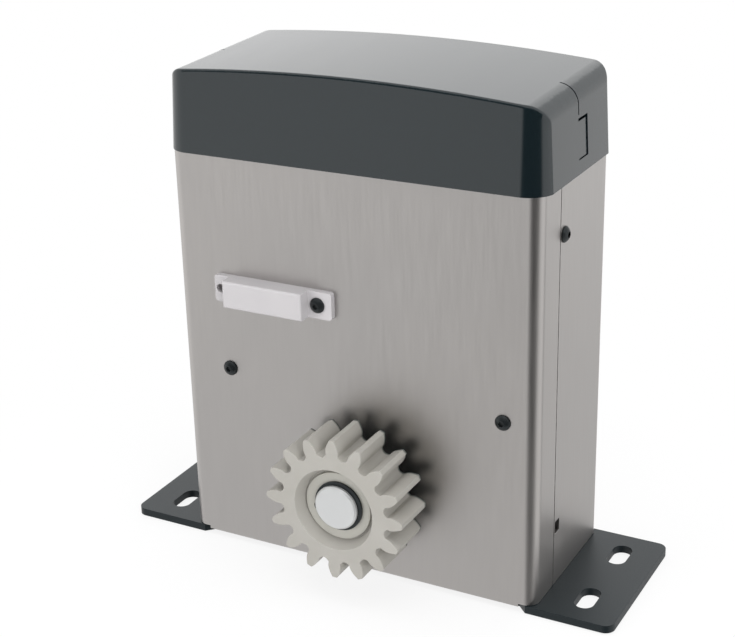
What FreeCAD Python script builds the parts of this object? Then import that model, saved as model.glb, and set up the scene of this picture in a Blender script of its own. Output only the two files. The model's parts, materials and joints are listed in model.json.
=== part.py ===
"""Slim sliding gate motor: base plate, folded covers, moulded top cover, worm gearbox and 16-tooth pinion.

Millimetres. +Z is up, -Y is the front, where the pinion is. The origin is the centre of the base plate's
underside. Every piece is a solid of its own, written to parts/NODE.step.
"""
import FreeCAD, Part
import math
import os

V = FreeCAD.Vector

# ---------------------------------------------------------------- driving dimensions

# base plate
base_length = 264.5
base_width = 82.4
base_thickness = 4.0
base_corner = 5.0
slot_width = 9.5
slot_length = 18.5
slot_spacing_x = 227.0
slot_spacing_y = 44.0
notch_half_width = 89.5
notch_depth = 4.5

# housing of two folded covers
housing_width = 189.0
housing_depth = 82.6
sheet = 1.2
bend_radius = 6.0
cover_top = 204.5
cover_lip = 2.6
cover_lip_half_width = 86.0
seam_depth = 22.0
seam_gap = 0.7
sheet_gap = 0.15
inner_flange = 16.0
side_slot_width = 5.4
side_slot_height = 6.4
side_slot_z = 34.7

# moulded top cover
cap_overhang = 2.0
cap_wall = 2.5
cap_front_height = 43.0
cap_rear_height = 45.3
cap_arch = 4.6
cap_draft = 3.0
shoulder_radius = 9.5
cap_corner_radius = 12.4
cap_edge_radius = 1.6
cap_crease = 0.3
cap_lip_depth = 6.0
cap_lip_wall = 2.0
cap_fit = 0.4
plug_width = 11.0
plug_low = 6.5
plug_high = 25.2
plug_recess = 0.5
plug_fit = 0.2
plug_shift = 2.7
pry_slot_width = 9.7
pry_slot_height = 1.6
shoulder_groove = 0.9
groove_end = 8.5

# pinion and output shaft
pinion_module = 4.0
pinion_teeth = 16
pinion_width = 24.7
pinion_phase = -0.6
pressure_angle = 20.0
pinion_x = 5.8
shaft_height = 50.6
pinion_standoff = 6.9
dish_radius = 20.6
dish_floor_radius = 18.0
dish_depth = 6.6
shaft_radius = 11.0
shaft_recess = 1.8
shoulder_shaft_radius = 12.5
wheel_seat_radius = 12.0
rear_journal_radius = 10.0
collar_radius = 15.5
circlip_radius = 13.8
circlip_thickness = 1.2
washer_radius = 17.0
washer_thickness = 1.5

# worm gear
worm_module = 2.0
worm_wheel_teeth = 30
worm_radius = 11.0
worm_length = 37.0
wheel_width = 16.0
mesh_play = 0.5
worm_y = -6.0
hub_radius = 20.0
hub_length = 4.2

# running fits
shaft_play = 0.05
thread_play = 0.05
part_play = 0.3

# ball bearings: (bore radius, outer radius, width, ball radius, balls)
front_bearing = (12.5, 26.0, 15.0, 3.6, 9)
rear_bearing = (10.0, 21.0, 12.0, 3.0, 8)
worm_bearing = (5.0, 13.0, 8.0, 2.2, 8)
race_gap = 0.25

# gearbox casting
case_wall = 5.5
cavity_play = 1.5
worm_cavity_radius = 14.8
case_bolt_radius = 2.5
case_lug_radius = 6.0
gasket = 0.4
foot_height = 8.0
seal_width = 6.5
seal_radius = 20.0
column_top = 91.0

# clutch and manual release
dog_radius = 19.0
dog_width = 9.0
dog_tooth = 4.0
dog_play = 0.3
groove_width = 6.2
groove_depth = 4.0
release_throw = 2.6
release_pin_radius = 2.6
spindle_radius = 5.5
lever_length = 38.0
lever_thickness = 6.0

# motor
motor_radius = 30.0
can_wall = 2.2
front_plate_thickness = 4.0
can_length = 62.0
end_bell_height = 9.0
air_gap = 1.0
magnet_thickness = 4.5
armature_length = 38.0
armature_slots = 12
through_bolt_circle = 25.6

# frame inside the housing
frame_sheet = 1.5
upright_x = 85.5
flange_width = 25.0
foot_flange = 13.5
tray_level = 170.0
shelf_level = 96.5
cover_screw_spacing = 144.8
cover_screw_centre = 5.1
cover_screw_z = 96.8
side_screw_y = -14.2
side_screw_z = 180.4

# limit sensor
sensor_left_reach = 29.8
sensor_right_reach = 34.1
sensor_height = 13.5
sensor_depth = 10.0
sensor_ear_thickness = 3.0
sensor_body_length = 43.0
sensor_hole_spacing = 53.3
sensor_x = -41.75
sensor_z = 139.4

# screws: (thread radius, head radius, head height, socket radius)
button_m4 = (2.0, 3.8, 2.3, 1.45)
pan_m4 = (2.0, 4.0, 2.6, 1.3)
board_m3 = (1.5, 2.8, 1.9, 0.9)
bolt_m5 = (2.5, 4.25, 5.0, 2.3)
bolt_m6 = (3.0, 5.0, 6.0, 2.8)

# electronics
board_length = 142.0
board_depth = 56.0
board_thickness = 1.6
board_standoff = 6.0
button_travel = 0.5

# ---------------------------------------------------------------- places worked out from them

front_y = -base_width / 2
rear_y = front_y + housing_depth
mid_y = (front_y + rear_y) / 2
side_x = housing_width / 2
seam_y = front_y + seam_depth
pinion_back = front_y - pinion_standoff
pinion_front = pinion_back - pinion_width
shaft_front = pinion_front + shaft_recess
dish_floor = pinion_front + dish_depth
wheel_pitch_radius = worm_module * worm_wheel_teeth / 2
worm_x = pinion_x - wheel_pitch_radius - worm_radius
wheel_front = worm_y - wheel_width / 2
wheel_back = worm_y + wheel_width / 2
case_front = front_y + sheet + 0.5
case_rear = rear_y - sheet - 0.5
front_bearing_y = case_front + seal_width + 0.6
collar_front = front_bearing_y + front_bearing[2]
rear_bearing_y = case_rear - 1.8 - rear_bearing[2]
hub_back = wheel_back + hub_length
dog_front = hub_back + dog_play
release_travel = math.sqrt(2) * release_throw
groove_y = dog_front + dog_width / 2
spindle_y = groove_y + release_throw / math.sqrt(2)
spindle_inner = pinion_x - dog_radius - part_play
cavity_radius = wheel_pitch_radius + worm_module + cavity_play
case_radius = cavity_radius + case_wall
motor_bottom = column_top
can_bottom = motor_bottom + front_plate_thickness
can_top = can_bottom + can_length
motor_top = can_top + end_bell_height
armature_radius = motor_radius - can_wall - magnet_thickness - air_gap
board_bottom = tray_level + frame_sheet + board_standoff
board_top = board_bottom + board_thickness
cable_x = 58.5
cable_y = 12.0
plug_y = mid_y + plug_shift
cap_screw_z = cover_top + 12.0

column_front = worm_y - 21.0
column_rear = spindle_y + spindle_radius + 3.0
worm_bearing_low = 14.0
worm_bearing_high = column_top - worm_bearing[2] - 2.5

# ---------------------------------------------------------------- helpers


def block(low, high):
    """Box between two opposite corners."""
    return Part.makeBox(high[0] - low[0], high[1] - low[1], high[2] - low[2], V(*low))


def rod(radius, start, end):
    """Round bar from one point to another."""
    axis = V(*end) - V(*start)
    return Part.makeCylinder(radius, axis.Length, V(*start), axis)


def ring(outer, inner, start, end):
    """Round tube from one point to another."""
    return rod(outer, start, end).cut(rod(inner, start, end))


def on_output(radius, front, rear):
    """Round bar on the output shaft's axis, between two Y values."""
    return rod(radius, (pinion_x, front, shaft_height), (pinion_x, rear, shaft_height))


def ring_on_output(outer, inner, front, rear):
    """Round tube on the output shaft's axis, between two Y values."""
    return on_output(outer, front, rear).cut(on_output(inner, front, rear))


def on_motor(radius, low, high):
    """Round bar on the motor's axis, between two heights."""
    return rod(radius, (worm_x, worm_y, low), (worm_x, worm_y, high))


def ring_on_motor(outer, inner, low, high):
    """Round tube on the motor's axis, between two heights."""
    return on_motor(outer, low, high).cut(on_motor(inner, low, high))


def cone(radius_start, radius_end, start, end):
    """Round taper from one point to another."""
    axis = V(*end) - V(*start)
    return Part.makeCone(radius_start, radius_end, axis.Length, V(*start), axis)


def prism(points, push):
    """Straight-sided solid: a closed outline pushed along a vector."""
    corners = [V(*point) for point in points]
    return Part.Face(Part.makePolygon(corners + corners[:1])).extrude(V(*push))


def join(pieces):
    """One solid from pieces that meet."""
    whole = pieces[0].multiFuse(pieces[1:]) if len(pieces) > 1 else pieces[0]
    return whole.removeSplitter()


def remove(solid, cutters):
    """The solid with every cutter taken away."""
    return solid.cut(Part.Compound(cutters)) if cutters else solid


def mirror_x(shape):
    """The shape seen in a mirror across the middle plane X = 0."""
    return shape.mirror(V(0, 0, 0), V(1, 0, 0))


def turned(shape, centre, axis, degrees):
    """A copy turned about an axis."""
    copy = shape.copy()
    copy.rotate(V(*centre), V(*axis), degrees)
    return copy


def edges_along(solid, axis):
    """Straight edges that run along an axis."""
    axis = V(*axis)
    found = []
    for edge in solid.Edges:
        if isinstance(edge.Curve, Part.Line):
            along = abs(edge.tangentAt(edge.FirstParameter).dot(axis))
            if along > 1 - 1e-6:
                found.append(edge)
    return found


def rounded_block(low, high, radius, axis):
    """Box with the four edges along one axis rounded."""
    solid = block(low, high)
    return solid.makeFillet(radius, edges_along(solid, axis))


def folded_sheet(path, thickness, push, bend):
    """Sheet that follows straight runs with rounded bends, pushed to its width.

    Its thickness lies on the left of the path, seen against the push.
    """
    push = V(*push)
    points = [V(*point) for point in path]
    runs = [(b - a).normalize() for a, b in zip(points, points[1:])]
    sides = [push.cross(run).normalize() for run in runs]
    offset = [points[0] + sides[0] * thickness]
    for index in range(1, len(points) - 1):
        middle = (sides[index - 1] + sides[index]).normalize()
        offset.append(points[index] + middle * (thickness / middle.dot(sides[index])))
    offset.append(points[-1] + sides[-1] * thickness)
    outline = points + offset[::-1]
    solid = Part.Face(Part.makePolygon(outline + outline[:1])).extrude(push)
    for index in range(1, len(points) - 1):
        inside_is_offset = runs[index - 1].cross(runs[index]).dot(push) > 0
        inner, outer = (offset, points) if inside_is_offset else (points, offset)
        for corner, radius in ((inner[index], bend), (outer[index], bend + thickness)):
            middle = corner + push * 0.5
            nearest = min(solid.Edges, key=lambda edge: edge.CenterOfMass.distanceToPoint(middle))
            solid = solid.makeFillet(radius, [nearest])
    return solid


def oblong(x, y, length, width, low, high):
    """Round-ended upright slot cutter, long along Y."""
    reach = (length - width) / 2
    middle = block((x - width / 2, y - reach, low), (x + width / 2, y + reach, high))
    ends = [rod(width / 2, (x, y + end, low), (x, y + end, high)) for end in (-reach, reach)]
    return join([middle] + ends)


def screw(kind, seat, direction, length, round_head=True):
    """Screw with its head on a seat and its shank running along a direction."""
    thread_radius, head_radius, head_height, socket_radius = kind
    bottom = V(0, 0, -head_height)
    if round_head:
        shoulder = head_height * 0.25
        middle = V(head_radius * 0.74, 0, -head_height * 0.83)
        top = V(head_radius * 0.42, 0, -head_height)
        outline = [
            Part.LineSegment(V(0, 0, 0), V(head_radius, 0, 0)),
            Part.LineSegment(V(head_radius, 0, 0), V(head_radius, 0, -shoulder)),
            Part.Arc(V(head_radius, 0, -shoulder), middle, top),
            Part.LineSegment(top, bottom),
            Part.LineSegment(bottom, V(0, 0, 0)),
        ]
        profile = Part.Face(Part.Wire([piece.toShape() for piece in outline]))
        head = profile.revolve(V(0, 0, 0), V(0, 0, 1), 360)
    else:
        head = Part.makeCylinder(head_radius, head_height, bottom)
    corners = [V(socket_radius * math.cos(step * math.pi / 3), socket_radius * math.sin(step * math.pi / 3),
                 -head_height - 1) for step in range(6)]
    socket = Part.Face(Part.makePolygon(corners + corners[:1])).extrude(V(0, 0, 1 + head_height * 0.55))
    shank = Part.makeCylinder(thread_radius, length)
    whole = head.cut(socket).fuse(shank).removeSplitter()
    whole.Placement = FreeCAD.Placement(V(*seat), FreeCAD.Rotation(V(0, 0, 1), V(*direction)))
    return whole


def hex_nut(place, direction, across_flats, thickness, bore):
    """Hexagonal nut that starts at a place and grows along a direction."""
    radius = across_flats / math.sqrt(3)
    corners = [V(radius * math.cos(step * math.pi / 3), radius * math.sin(step * math.pi / 3), 0)
               for step in range(6)]
    nut = Part.Face(Part.makePolygon(corners + corners[:1])).extrude(V(0, 0, thickness))
    nut = nut.cut(Part.makeCylinder(bore, thickness))
    nut.Placement = FreeCAD.Placement(V(*place), FreeCAD.Rotation(V(0, 0, 1), V(*direction)))
    return nut


parts = {}


def node(name, *solids):
    """Keep one named piece, or a group of identical pieces."""
    parts[name] = solids[0] if len(solids) == 1 else Part.makeCompound(list(solids))


# ---------------------------------------------------------------- gear teeth


def involute_point(base_radius, radius, thickness_angle, side):
    """Point on a tooth flank at a radius; thickness_angle is half the tooth at the base circle."""
    spread = math.sqrt(max(radius ** 2 / base_radius ** 2 - 1, 0))
    angle = side * (thickness_angle - (spread - math.atan(spread)))
    return V(radius * math.cos(angle), 0, radius * math.sin(angle))


def gear_outline(module, teeth, thinning, root_depth, flank_points, phase):
    """Closed spur gear outline in the XZ plane about the origin, with one tooth at the phase angle."""
    alpha = math.radians(pressure_angle)
    pitch = module * teeth / 2
    base = pitch * math.cos(alpha)
    tip = pitch + module
    root = pitch - root_depth * module
    foot = root + 0.35 * module
    half_pitch = (math.pi * module / 2 - thinning) / 2 / pitch
    half_base = half_pitch + math.tan(alpha) - alpha
    start = max(base, foot)
    radii = [start + (tip - start) * step / (flank_points - 1) for step in range(flank_points)]
    rising = [involute_point(base, radius, half_base, -1) for radius in radii]
    falling = [involute_point(base, radius, half_base, 1) for radius in radii][::-1]
    foot_angle = math.atan2(falling[-1].z, falling[-1].x)
    step_angle = 2 * math.pi / teeth
    edges = []
    for tooth in range(teeth):
        turn = math.radians(phase) + tooth * step_angle

        def place(point):
            return V(point.x * math.cos(turn) - point.z * math.sin(turn), 0,
                     point.x * math.sin(turn) + point.z * math.cos(turn))

        def on_circle(radius, angle):
            return place(V(radius * math.cos(angle), 0, radius * math.sin(angle)))

        for flank in (rising, falling):
            curve = Part.BSplineCurve()
            curve.interpolate([place(point) for point in flank])
            edges.append(curve.toShape())
            if flank is rising:
                edges.append(Part.Arc(place(rising[-1]), on_circle(tip, 0), place(falling[0])).toShape())
        low_here = on_circle(foot, foot_angle)
        low_next = on_circle(foot, step_angle - foot_angle)
        if start > foot:
            edges.append(Part.LineSegment(place(falling[-1]), low_here).toShape())
            edges.append(Part.LineSegment(low_next, on_circle(start, step_angle - foot_angle)).toShape())
        edges.append(Part.Arc(low_here, on_circle(root, step_angle / 2), low_next).toShape())
    return Part.Wire(Part.__sortEdges__(edges))


def spur_gear(module, teeth, thinning, root_depth, flank_points, phase, width, centre):
    """Straight toothed gear that grows along +Y from its centre point."""
    outline = gear_outline(module, teeth, thinning, root_depth, flank_points, phase)
    gear = Part.Face(outline).extrude(V(0, width, 0))
    gear.translate(V(*centre))
    return gear


# ---------------------------------------------------------------- base plate


def base_plate():
    """Flat steel plate with four anchor slots, set back in front so that the cover can hang over it."""
    plate = rounded_block((-base_length / 2, -base_width / 2, 0),
                          (base_length / 2, base_width / 2, base_thickness),
                          base_corner, (0, 0, 1))
    edge = -base_width / 2
    notch = prism([(-notch_half_width, edge, -1), (notch_half_width, edge, -1),
                   (notch_half_width - notch_depth, edge + notch_depth, -1),
                   (-notch_half_width + notch_depth, edge + notch_depth, -1)], (0, 0, base_thickness + 2))
    cutters = [notch]
    for x in (-slot_spacing_x / 2, slot_spacing_x / 2):
        for y in (-slot_spacing_y / 2, slot_spacing_y / 2):
            cutters.append(oblong(x, y, slot_length, slot_width, -1, base_thickness + 1))
    cutters.append(rod(cable_hole_radius, (cable_x, cable_y, -1), (cable_x, cable_y, base_thickness + 1)))
    for x, y in foot_bolt_places:
        cutters.append(rod(bolt_m6[0] + thread_play, (x, y, -1), (x, y, base_thickness + 1)))
    for x, y in upright_foot_places:
        cutters.append(rod(pan_m4[0] + thread_play, (x, y, -1), (x, y, base_thickness + 1)))
    return remove(plate, cutters)


cable_hole_radius = 9.5
cable_bore_radius = 6.5
foot_reach_left = -61.0
foot_reach_right = 45.0
foot_bolt_places = [(x, y) for x in (foot_reach_left + 7, foot_reach_right - 7) for y in (-25.0, 21.0)]
upright_foot_x = upright_x - foot_flange / 2
upright_foot_places = [(side * upright_foot_x, y) for side in (-1, 1) for y in (-18.0, 16.0)]


def cable_grommet():
    """Rubber grommet in the plate's cable hole, with a raised cone round the cable."""
    neck = cable_hole_radius - 0.1
    flange = cable_hole_radius + 2.5
    outline = [
        (cable_bore_radius, 0.4),
        (neck, 0.4),
        (neck, base_thickness + 0.05),
        (flange, base_thickness + 0.05),
        (flange, base_thickness + 2.2),
        (neck, base_thickness + 3.2),
        (cable_bore_radius + 1.4, base_thickness + 9),
        (cable_bore_radius, base_thickness + 9),
    ]
    corners = [V(cable_x + radius, cable_y, height) for radius, height in outline]
    profile = Part.Face(Part.makePolygon(corners + corners[:1]))
    return profile.revolve(V(cable_x, cable_y, 0), V(0, 0, 1), 360)


# ---------------------------------------------------------------- folded covers


def cover_shell(bottom):
    """Folded sheet all round the housing, before it is parted into front and rear covers."""
    outer = rounded_block((-side_x, front_y, bottom), (side_x, rear_y, cover_top), bend_radius, (0, 0, 1))
    inner = rounded_block((-side_x + sheet, front_y + sheet, bottom - 1),
                          (side_x - sheet, rear_y - sheet, cover_top + 1), bend_radius - sheet, (0, 0, 1))
    return outer.cut(inner)


def cover_screw_places():
    """Centres of the two screws in the front and in the rear."""
    return [(cover_screw_centre + side * cover_screw_spacing / 2, cover_screw_z) for side in (-1, 1)]


def sensor_hole_places():
    """Centres of the limit sensor's two holes."""
    return [(sensor_x - sensor_hole_spacing / 2, sensor_z), (sensor_x + sensor_hole_spacing / 2, sensor_z)]


def front_cover():
    """Front panel with both ends folded back to the seam, then stepped in to lie behind the rear cover."""
    shell = cover_shell(cover_lip)
    keep = block((-side_x - 1, front_y - 1, cover_lip - 1), (side_x + 1, seam_y, cover_top + 1))
    shell = shell.common(keep)
    seat = base_thickness + sheet_gap
    right_end = block((cover_lip_half_width, front_y - 1, 0), (side_x + 1, seam_y + 1, seat))
    above_plate = [right_end, mirror_x(right_end)]
    behind_lip = block((-side_x - 1, front_y + sheet + 0.6, 0), (side_x + 1, seam_y + 1, seat))
    shell = remove(shell, above_plate + [behind_lip])
    step_in = sheet + sheet_gap
    step_run = 1.1 + seam_gap - 0.1
    outer = side_x
    flanges = []
    for side in (-1, 1):
        path = [(side * outer, seam_y - 1.2, seat), (side * outer, seam_y - 1.1, seat),
                (side * (outer - step_in), seam_y - 1.1 + step_run, seat),
                (side * (outer - step_in), seam_y + inner_flange, seat)]
        if side > 0:
            path = path[::-1]
        flanges.append(joggle(path, seat))
    cover = join([shell] + flanges)
    holes = [on_output(shaft_hole_radius, front_y - 1, front_y + sheet + 1)]
    for x, z in cover_screw_places() + sensor_hole_places()[1:]:
        holes.append(rod(button_m4[0] + 0.25, (x, front_y - 1, z), (x, front_y + sheet + 1, z)))
    holes.append(rod(3.2, (sensor_x, front_y - 1, sensor_z), (sensor_x, front_y + sheet + 1, sensor_z)))
    for side in (-1, 1):
        holes.append(rod(button_m4[0] + 0.25, (side * (side_x - 4), side_screw_y, side_screw_z),
                         (side * (side_x + 1), side_screw_y, side_screw_z)))
        low, high = sorted((side * (side_x - 4), side * (side_x + 1)))
        holes.append(block((low, side_slot_y - side_slot_width / 2 - 1,
                            side_slot_z - side_slot_height / 2 - 1),
                           (high, side_slot_y + side_slot_width / 2 + 1,
                            side_slot_z + side_slot_height / 2 + 1)))
    return remove(cover, holes)


def joggle(path, bottom):
    """Stepped flange of the front cover, as a sheet on the inner side of its path."""
    corners = [V(*point) for point in path]
    height = cover_top - bottom
    side = 1 if corners[0].x > 0 else -1
    inner = [V(point.x - side * sheet, point.y, point.z) for point in corners]
    outline = corners + inner[::-1]
    return Part.Face(Part.makePolygon(outline + outline[:1])).extrude(V(0, 0, height))


shaft_hole_radius = 17.0
side_slot_y = seam_y + seam_gap + 0.8 + side_slot_width / 2


def rear_cover():
    """Rear panel with both ends folded forward to the seam."""
    shell = cover_shell(base_thickness + sheet_gap)
    shell = shell.common(block((-side_x - 1, seam_y + seam_gap, 0),
                               (side_x + 1, rear_y + 1, cover_top + 1)))
    holes = []
    for x, z in cover_screw_places():
        holes.append(rod(button_m4[0] + 0.25, (x, rear_y - sheet - 1, z), (x, rear_y + 1, z)))
    for side in (-1, 1):
        low, high = sorted((side * (side_x - sheet - 0.5), side * (side_x + 1)))
        holes.append(rod(button_m4[0] + 0.25, (low, side_screw_y, side_screw_z),
                         (high, side_screw_y, side_screw_z)))
        holes.append(block((low, side_slot_y - side_slot_width / 2, side_slot_z - side_slot_height / 2),
                           (high, side_slot_y + side_slot_width / 2, side_slot_z + side_slot_height / 2)))
    holes.append(rod(spindle_radius + 0.6, (-side_x - 1, spindle_y, shaft_height),
                     (-side_x + sheet + 1, spindle_y, shaft_height)))
    return remove(shell, holes)


def cover_screws():
    """Black button-head screws of the covers and the limit sensor."""
    screws = []
    for x, z in cover_screw_places():
        screws.append(screw(button_m4, (x, front_y, z), (0, 1, 0), 8))
        screws.append(screw(button_m4, (x, rear_y, z), (0, -1, 0), 8))
    for side in (-1, 1):
        screws.append(screw(button_m4, (side * side_x, side_screw_y, side_screw_z), (-side, 0, 0), 7))
    x, z = sensor_hole_places()[1]
    screws.append(screw(button_m4, (x, front_y - sensor_ear_thickness, z), (0, 1, 0), 9))
    return screws


def clinch_nuts():
    """Nuts behind the sheet for the cover screws."""
    nuts = []
    size = (7.0, 3.0, button_m4[0] + thread_play)
    for x, z in cover_screw_places():
        nuts.append(hex_nut((x, front_y + sheet + sheet_gap + frame_sheet, z), (0, 1, 0), *size))
        nuts.append(hex_nut((x, rear_y - sheet - sheet_gap - frame_sheet, z), (0, -1, 0), *size))
    inner_face = side_x - 2 * sheet - sheet_gap
    for side in (-1, 1):
        nuts.append(hex_nut((side * inner_face, side_screw_y, side_screw_z), (-side, 0, 0), *size))
    x, z = sensor_hole_places()[1]
    nuts.append(hex_nut((x, front_y + sheet, z), (0, 1, 0), *size))
    return nuts


def limit_sensor():
    """Surface-mounted magnetic limit sensor: a plain body between two drilled ears."""
    low_z = sensor_z - sensor_height / 2
    high_z = sensor_z + sensor_height / 2
    ears = rounded_block((sensor_x - sensor_left_reach, front_y - sensor_ear_thickness, low_z),
                         (sensor_x + sensor_right_reach, front_y, high_z), 1.6, (0, 1, 0))
    body = block((sensor_x - sensor_body_length / 2, front_y - sensor_depth, low_z),
                 (sensor_x + sensor_body_length / 2, front_y, high_z))
    front_edges = [edge for edge in body.Edges if edge.CenterOfMass.y < front_y - sensor_depth + 0.01]
    body = body.makeFillet(1.2, front_edges)
    holes = [rod(2.2, (x, front_y - sensor_depth, z), (x, front_y + 1, z)) for x, z in sensor_hole_places()]
    return remove(join([ears, body]), holes)


# ---------------------------------------------------------------- moulded top cover


def cap_block(inset, bottom):
    """Outer form of the top cover, or the same form drawn in all round by an inset.

    The ends lean in by the draft and roll over a shoulder into a crowned top that is lower in front. The
    front and rear faces close it with large upright corners, which meet the ends in a faint crease.
    """
    lean = math.tan(math.radians(cap_draft))
    foot = side_x + cap_overhang - inset
    front = front_y - cap_overhang
    rear = rear_y + cap_overhang

    def section(y, height):
        top = cover_top + height - inset
        edge_top = top - cap_arch
        low_x = foot + (cover_top - bottom) * lean
        high_x = foot - (edge_top - cover_top) * lean
        crown = Part.Arc(V(high_x, y, edge_top), V(0, y, top), V(-high_x, y, edge_top))
        lines = [
            Part.LineSegment(V(-low_x, y, bottom), V(low_x, y, bottom)),
            Part.LineSegment(V(low_x, y, bottom), V(high_x, y, edge_top)),
            crown,
            Part.LineSegment(V(-high_x, y, edge_top), V(-low_x, y, bottom)),
        ]
        return Part.Wire([line.toShape() for line in lines])

    body = Part.makeLoft([section(front, cap_front_height), section(rear, cap_rear_height)], True, True)
    shoulders = []
    for edge in body.Edges:
        middle = edge.CenterOfMass
        if abs(middle.x) > foot * 0.8 and middle.z > cover_top + 20 and abs(middle.y - mid_y) < 1:
            shoulders.append(edge)
    body = body.makeFillet(shoulder_radius - inset, shoulders)

    def plan(z):
        lean_in = (z - cover_top) * lean + inset
        half = side_x + cap_overhang + cap_crease - lean_in
        radius = max(cap_corner_radius - lean_in, 1.0)
        outline = rounded_block((-half, front + lean_in, z), (half, rear - lean_in, z + 1), radius,
                                (0, 0, 1))
        for face in outline.Faces:
            if abs(face.CenterOfMass.z - z) < 1e-6:
                return face.OuterWire
        return None

    top = cover_top + max(cap_front_height, cap_rear_height) + 2
    walls = Part.makeLoft([plan(bottom), plan(top)], True, True)
    return body.common(walls)


def cap_rim_edges(cap):
    """Edges where the top and ends meet the front and rear faces."""
    found = []
    for edge in cap.Edges:
        box = edge.BoundBox
        near_front = box.YMax < front_y + cap_corner_radius
        near_rear = box.YMin > rear_y - cap_corner_radius
        if (near_front or near_rear) and box.ZMax > cover_top + 1 and edge.Length > 0.5:
            faces = cap.ancestorsOfType(edge, Part.Face)
            if len(faces) == 2 and crease_angle(edge, faces) > 5:
                found.append(edge)
    return found


def crease_angle(edge, faces):
    """Angle in degrees between two faces at the middle of their edge."""
    middle = edge.valueAt((edge.FirstParameter + edge.LastParameter) / 2)
    normals = [face.normalAt(*face.Surface.parameter(middle)) for face in faces]
    return math.degrees(normals[0].getAngle(normals[1]))


def cap_screw_wells():
    """Places of the two cap screws, as side and Y."""
    return [(-1, plug_y), (1, plug_y)]


def top_cover():
    """Moulded cover with a locating lip, ribs under the top, and a covered screw in each end."""
    outer = cap_block(0, cover_top)
    outer = outer.makeFillet(cap_edge_radius, cap_rim_edges(outer))
    cap = outer.cut(cap_block(cap_wall, cover_top - 1))
    lip_x = side_x - 2 * sheet - sheet_gap - cap_fit
    lip_front = front_y + sheet + cap_fit
    lip_rear = rear_y - sheet - cap_fit
    lip_radius = bend_radius - sheet
    lip_outer = rounded_block((-lip_x, lip_front, cover_top - cap_lip_depth),
                              (lip_x, lip_rear, cover_top + cap_wall),
                              lip_radius, (0, 0, 1))
    ledge = cap_block(0.5, cover_top).common(
        block((-side_x - 5, front_y - 5, cover_top), (side_x + 5, rear_y + 5, cover_top + cap_wall)))
    hollow = rounded_block((-lip_x + cap_lip_wall, lip_front + cap_lip_wall, cover_top - cap_lip_depth - 1),
                           (lip_x - cap_lip_wall, lip_rear - cap_lip_wall, cover_top + cap_wall + 1),
                           lip_radius - cap_lip_wall, (0, 0, 1))
    cap = join([cap, join([lip_outer, ledge]).cut(hollow)])
    inside = cap_block(cap_wall - 0.5, cover_top - 1)
    pads = []
    cuts = []
    for side, y in cap_screw_wells():
        inner = side_x - 7.0
        low, high = sorted((side * inner, side * (side_x + 2)))
        pads.append(block((low, y - plug_width / 2 - 2, cover_top),
                          (high, y + plug_width / 2 + 2, cover_top + plug_high + 4)))
        low, high = sorted((side * cap_boss_face, side * side_x))
        pads.append(rod(6.0, (low, y, cap_screw_z), (high, y, cap_screw_z)))
        low, high = sorted((side * plug_back_x, side * (side_x + 5)))
        cuts.append(block((low, y - plug_width / 2, cover_top + plug_low),
                          (high, y + plug_width / 2, cover_top + plug_high)))
        low, high = sorted((side * (plug_back_x - 1.2), side * (side_x + 5)))
        cuts.append(block((low, y - plug_width / 2, cover_top + plug_high - pry_slot_height),
                          (high, y - plug_width / 2 + pry_slot_width, cover_top + plug_high)))
        cuts.append(rod(cap_screw[1] + 0.4, (side * cap_screw_seat, y, cap_screw_z),
                        (side * (side_x + 5), y, cap_screw_z)))
        cuts.append(rod(cap_screw[0] + 0.25, (side * (cap_boss_face - 1), y, cap_screw_z),
                        (side * (side_x + 5), y, cap_screw_z)))
    pads = [pad.common(inside) for pad in pads]
    ribs = []
    for x in (-60.0, -20.0, 20.0, 60.0):
        ribs.append(block((x - 0.8, front_y, cover_top + 33),
                          (x + 0.8, rear_y, cover_top + 50)).common(inside))
    cap = join([cap] + pads + ribs)
    skin = cap_block(0, cover_top).cut(cap_block(0.6, cover_top - 1))
    for side, y in cap_screw_wells():
        start = y - plug_width / 2 + 0.6
        low, high = sorted((side * (side_x - groove_end), side * (side_x + 5)))
        slab = block((low, start - shoulder_groove / 2, cover_top + plug_high + 1.5),
                     (high, start + shoulder_groove / 2, cover_top + 60))
        cuts.append(skin.common(slab))
    return remove(cap, cuts)


cap_boss_face = upright_x + 0.3
plug_back_x = side_x - 1.9
cap_screw_seat = plug_back_x - 3.4
cap_screw = (2.0, 3.4, 2.2, 1.3)


def cap_plugs():
    """Snap-in plates over the cap screws, a little below the end faces."""
    plates = []
    skin = cap_block(plug_recess, cover_top - 1)
    for side, y in cap_screw_wells():
        low, high = sorted((side * (plug_back_x + 0.1), side * (side_x + 5)))
        plate = block((low, y - plug_width / 2 + plug_fit, cover_top + plug_low + plug_fit),
                      (high, y + plug_width / 2 - plug_fit, cover_top + plug_high - pry_slot_height))
        plates.append(plate.common(skin))
    return plates


def cap_screws():
    """Captive screws that clamp the top cover to the tray's slotted tabs."""
    return [screw(cap_screw, (side * cap_screw_seat, y, cap_screw_z), (-side, 0, 0),
                  cap_screw_seat - upright_x + 9)
            for side, y in cap_screw_wells()]


def cap_nuts():
    """Square-shouldered nuts on the ends of the cap screws."""
    start = upright_x - frame_sheet - 0.6
    return [hex_nut((side * start, y, cap_screw_z), (-side, 0, 0), 7.0, 4.0, cap_screw[0] + thread_play)
            for side, y in cap_screw_wells()]


# ---------------------------------------------------------------- frame inside


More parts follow.
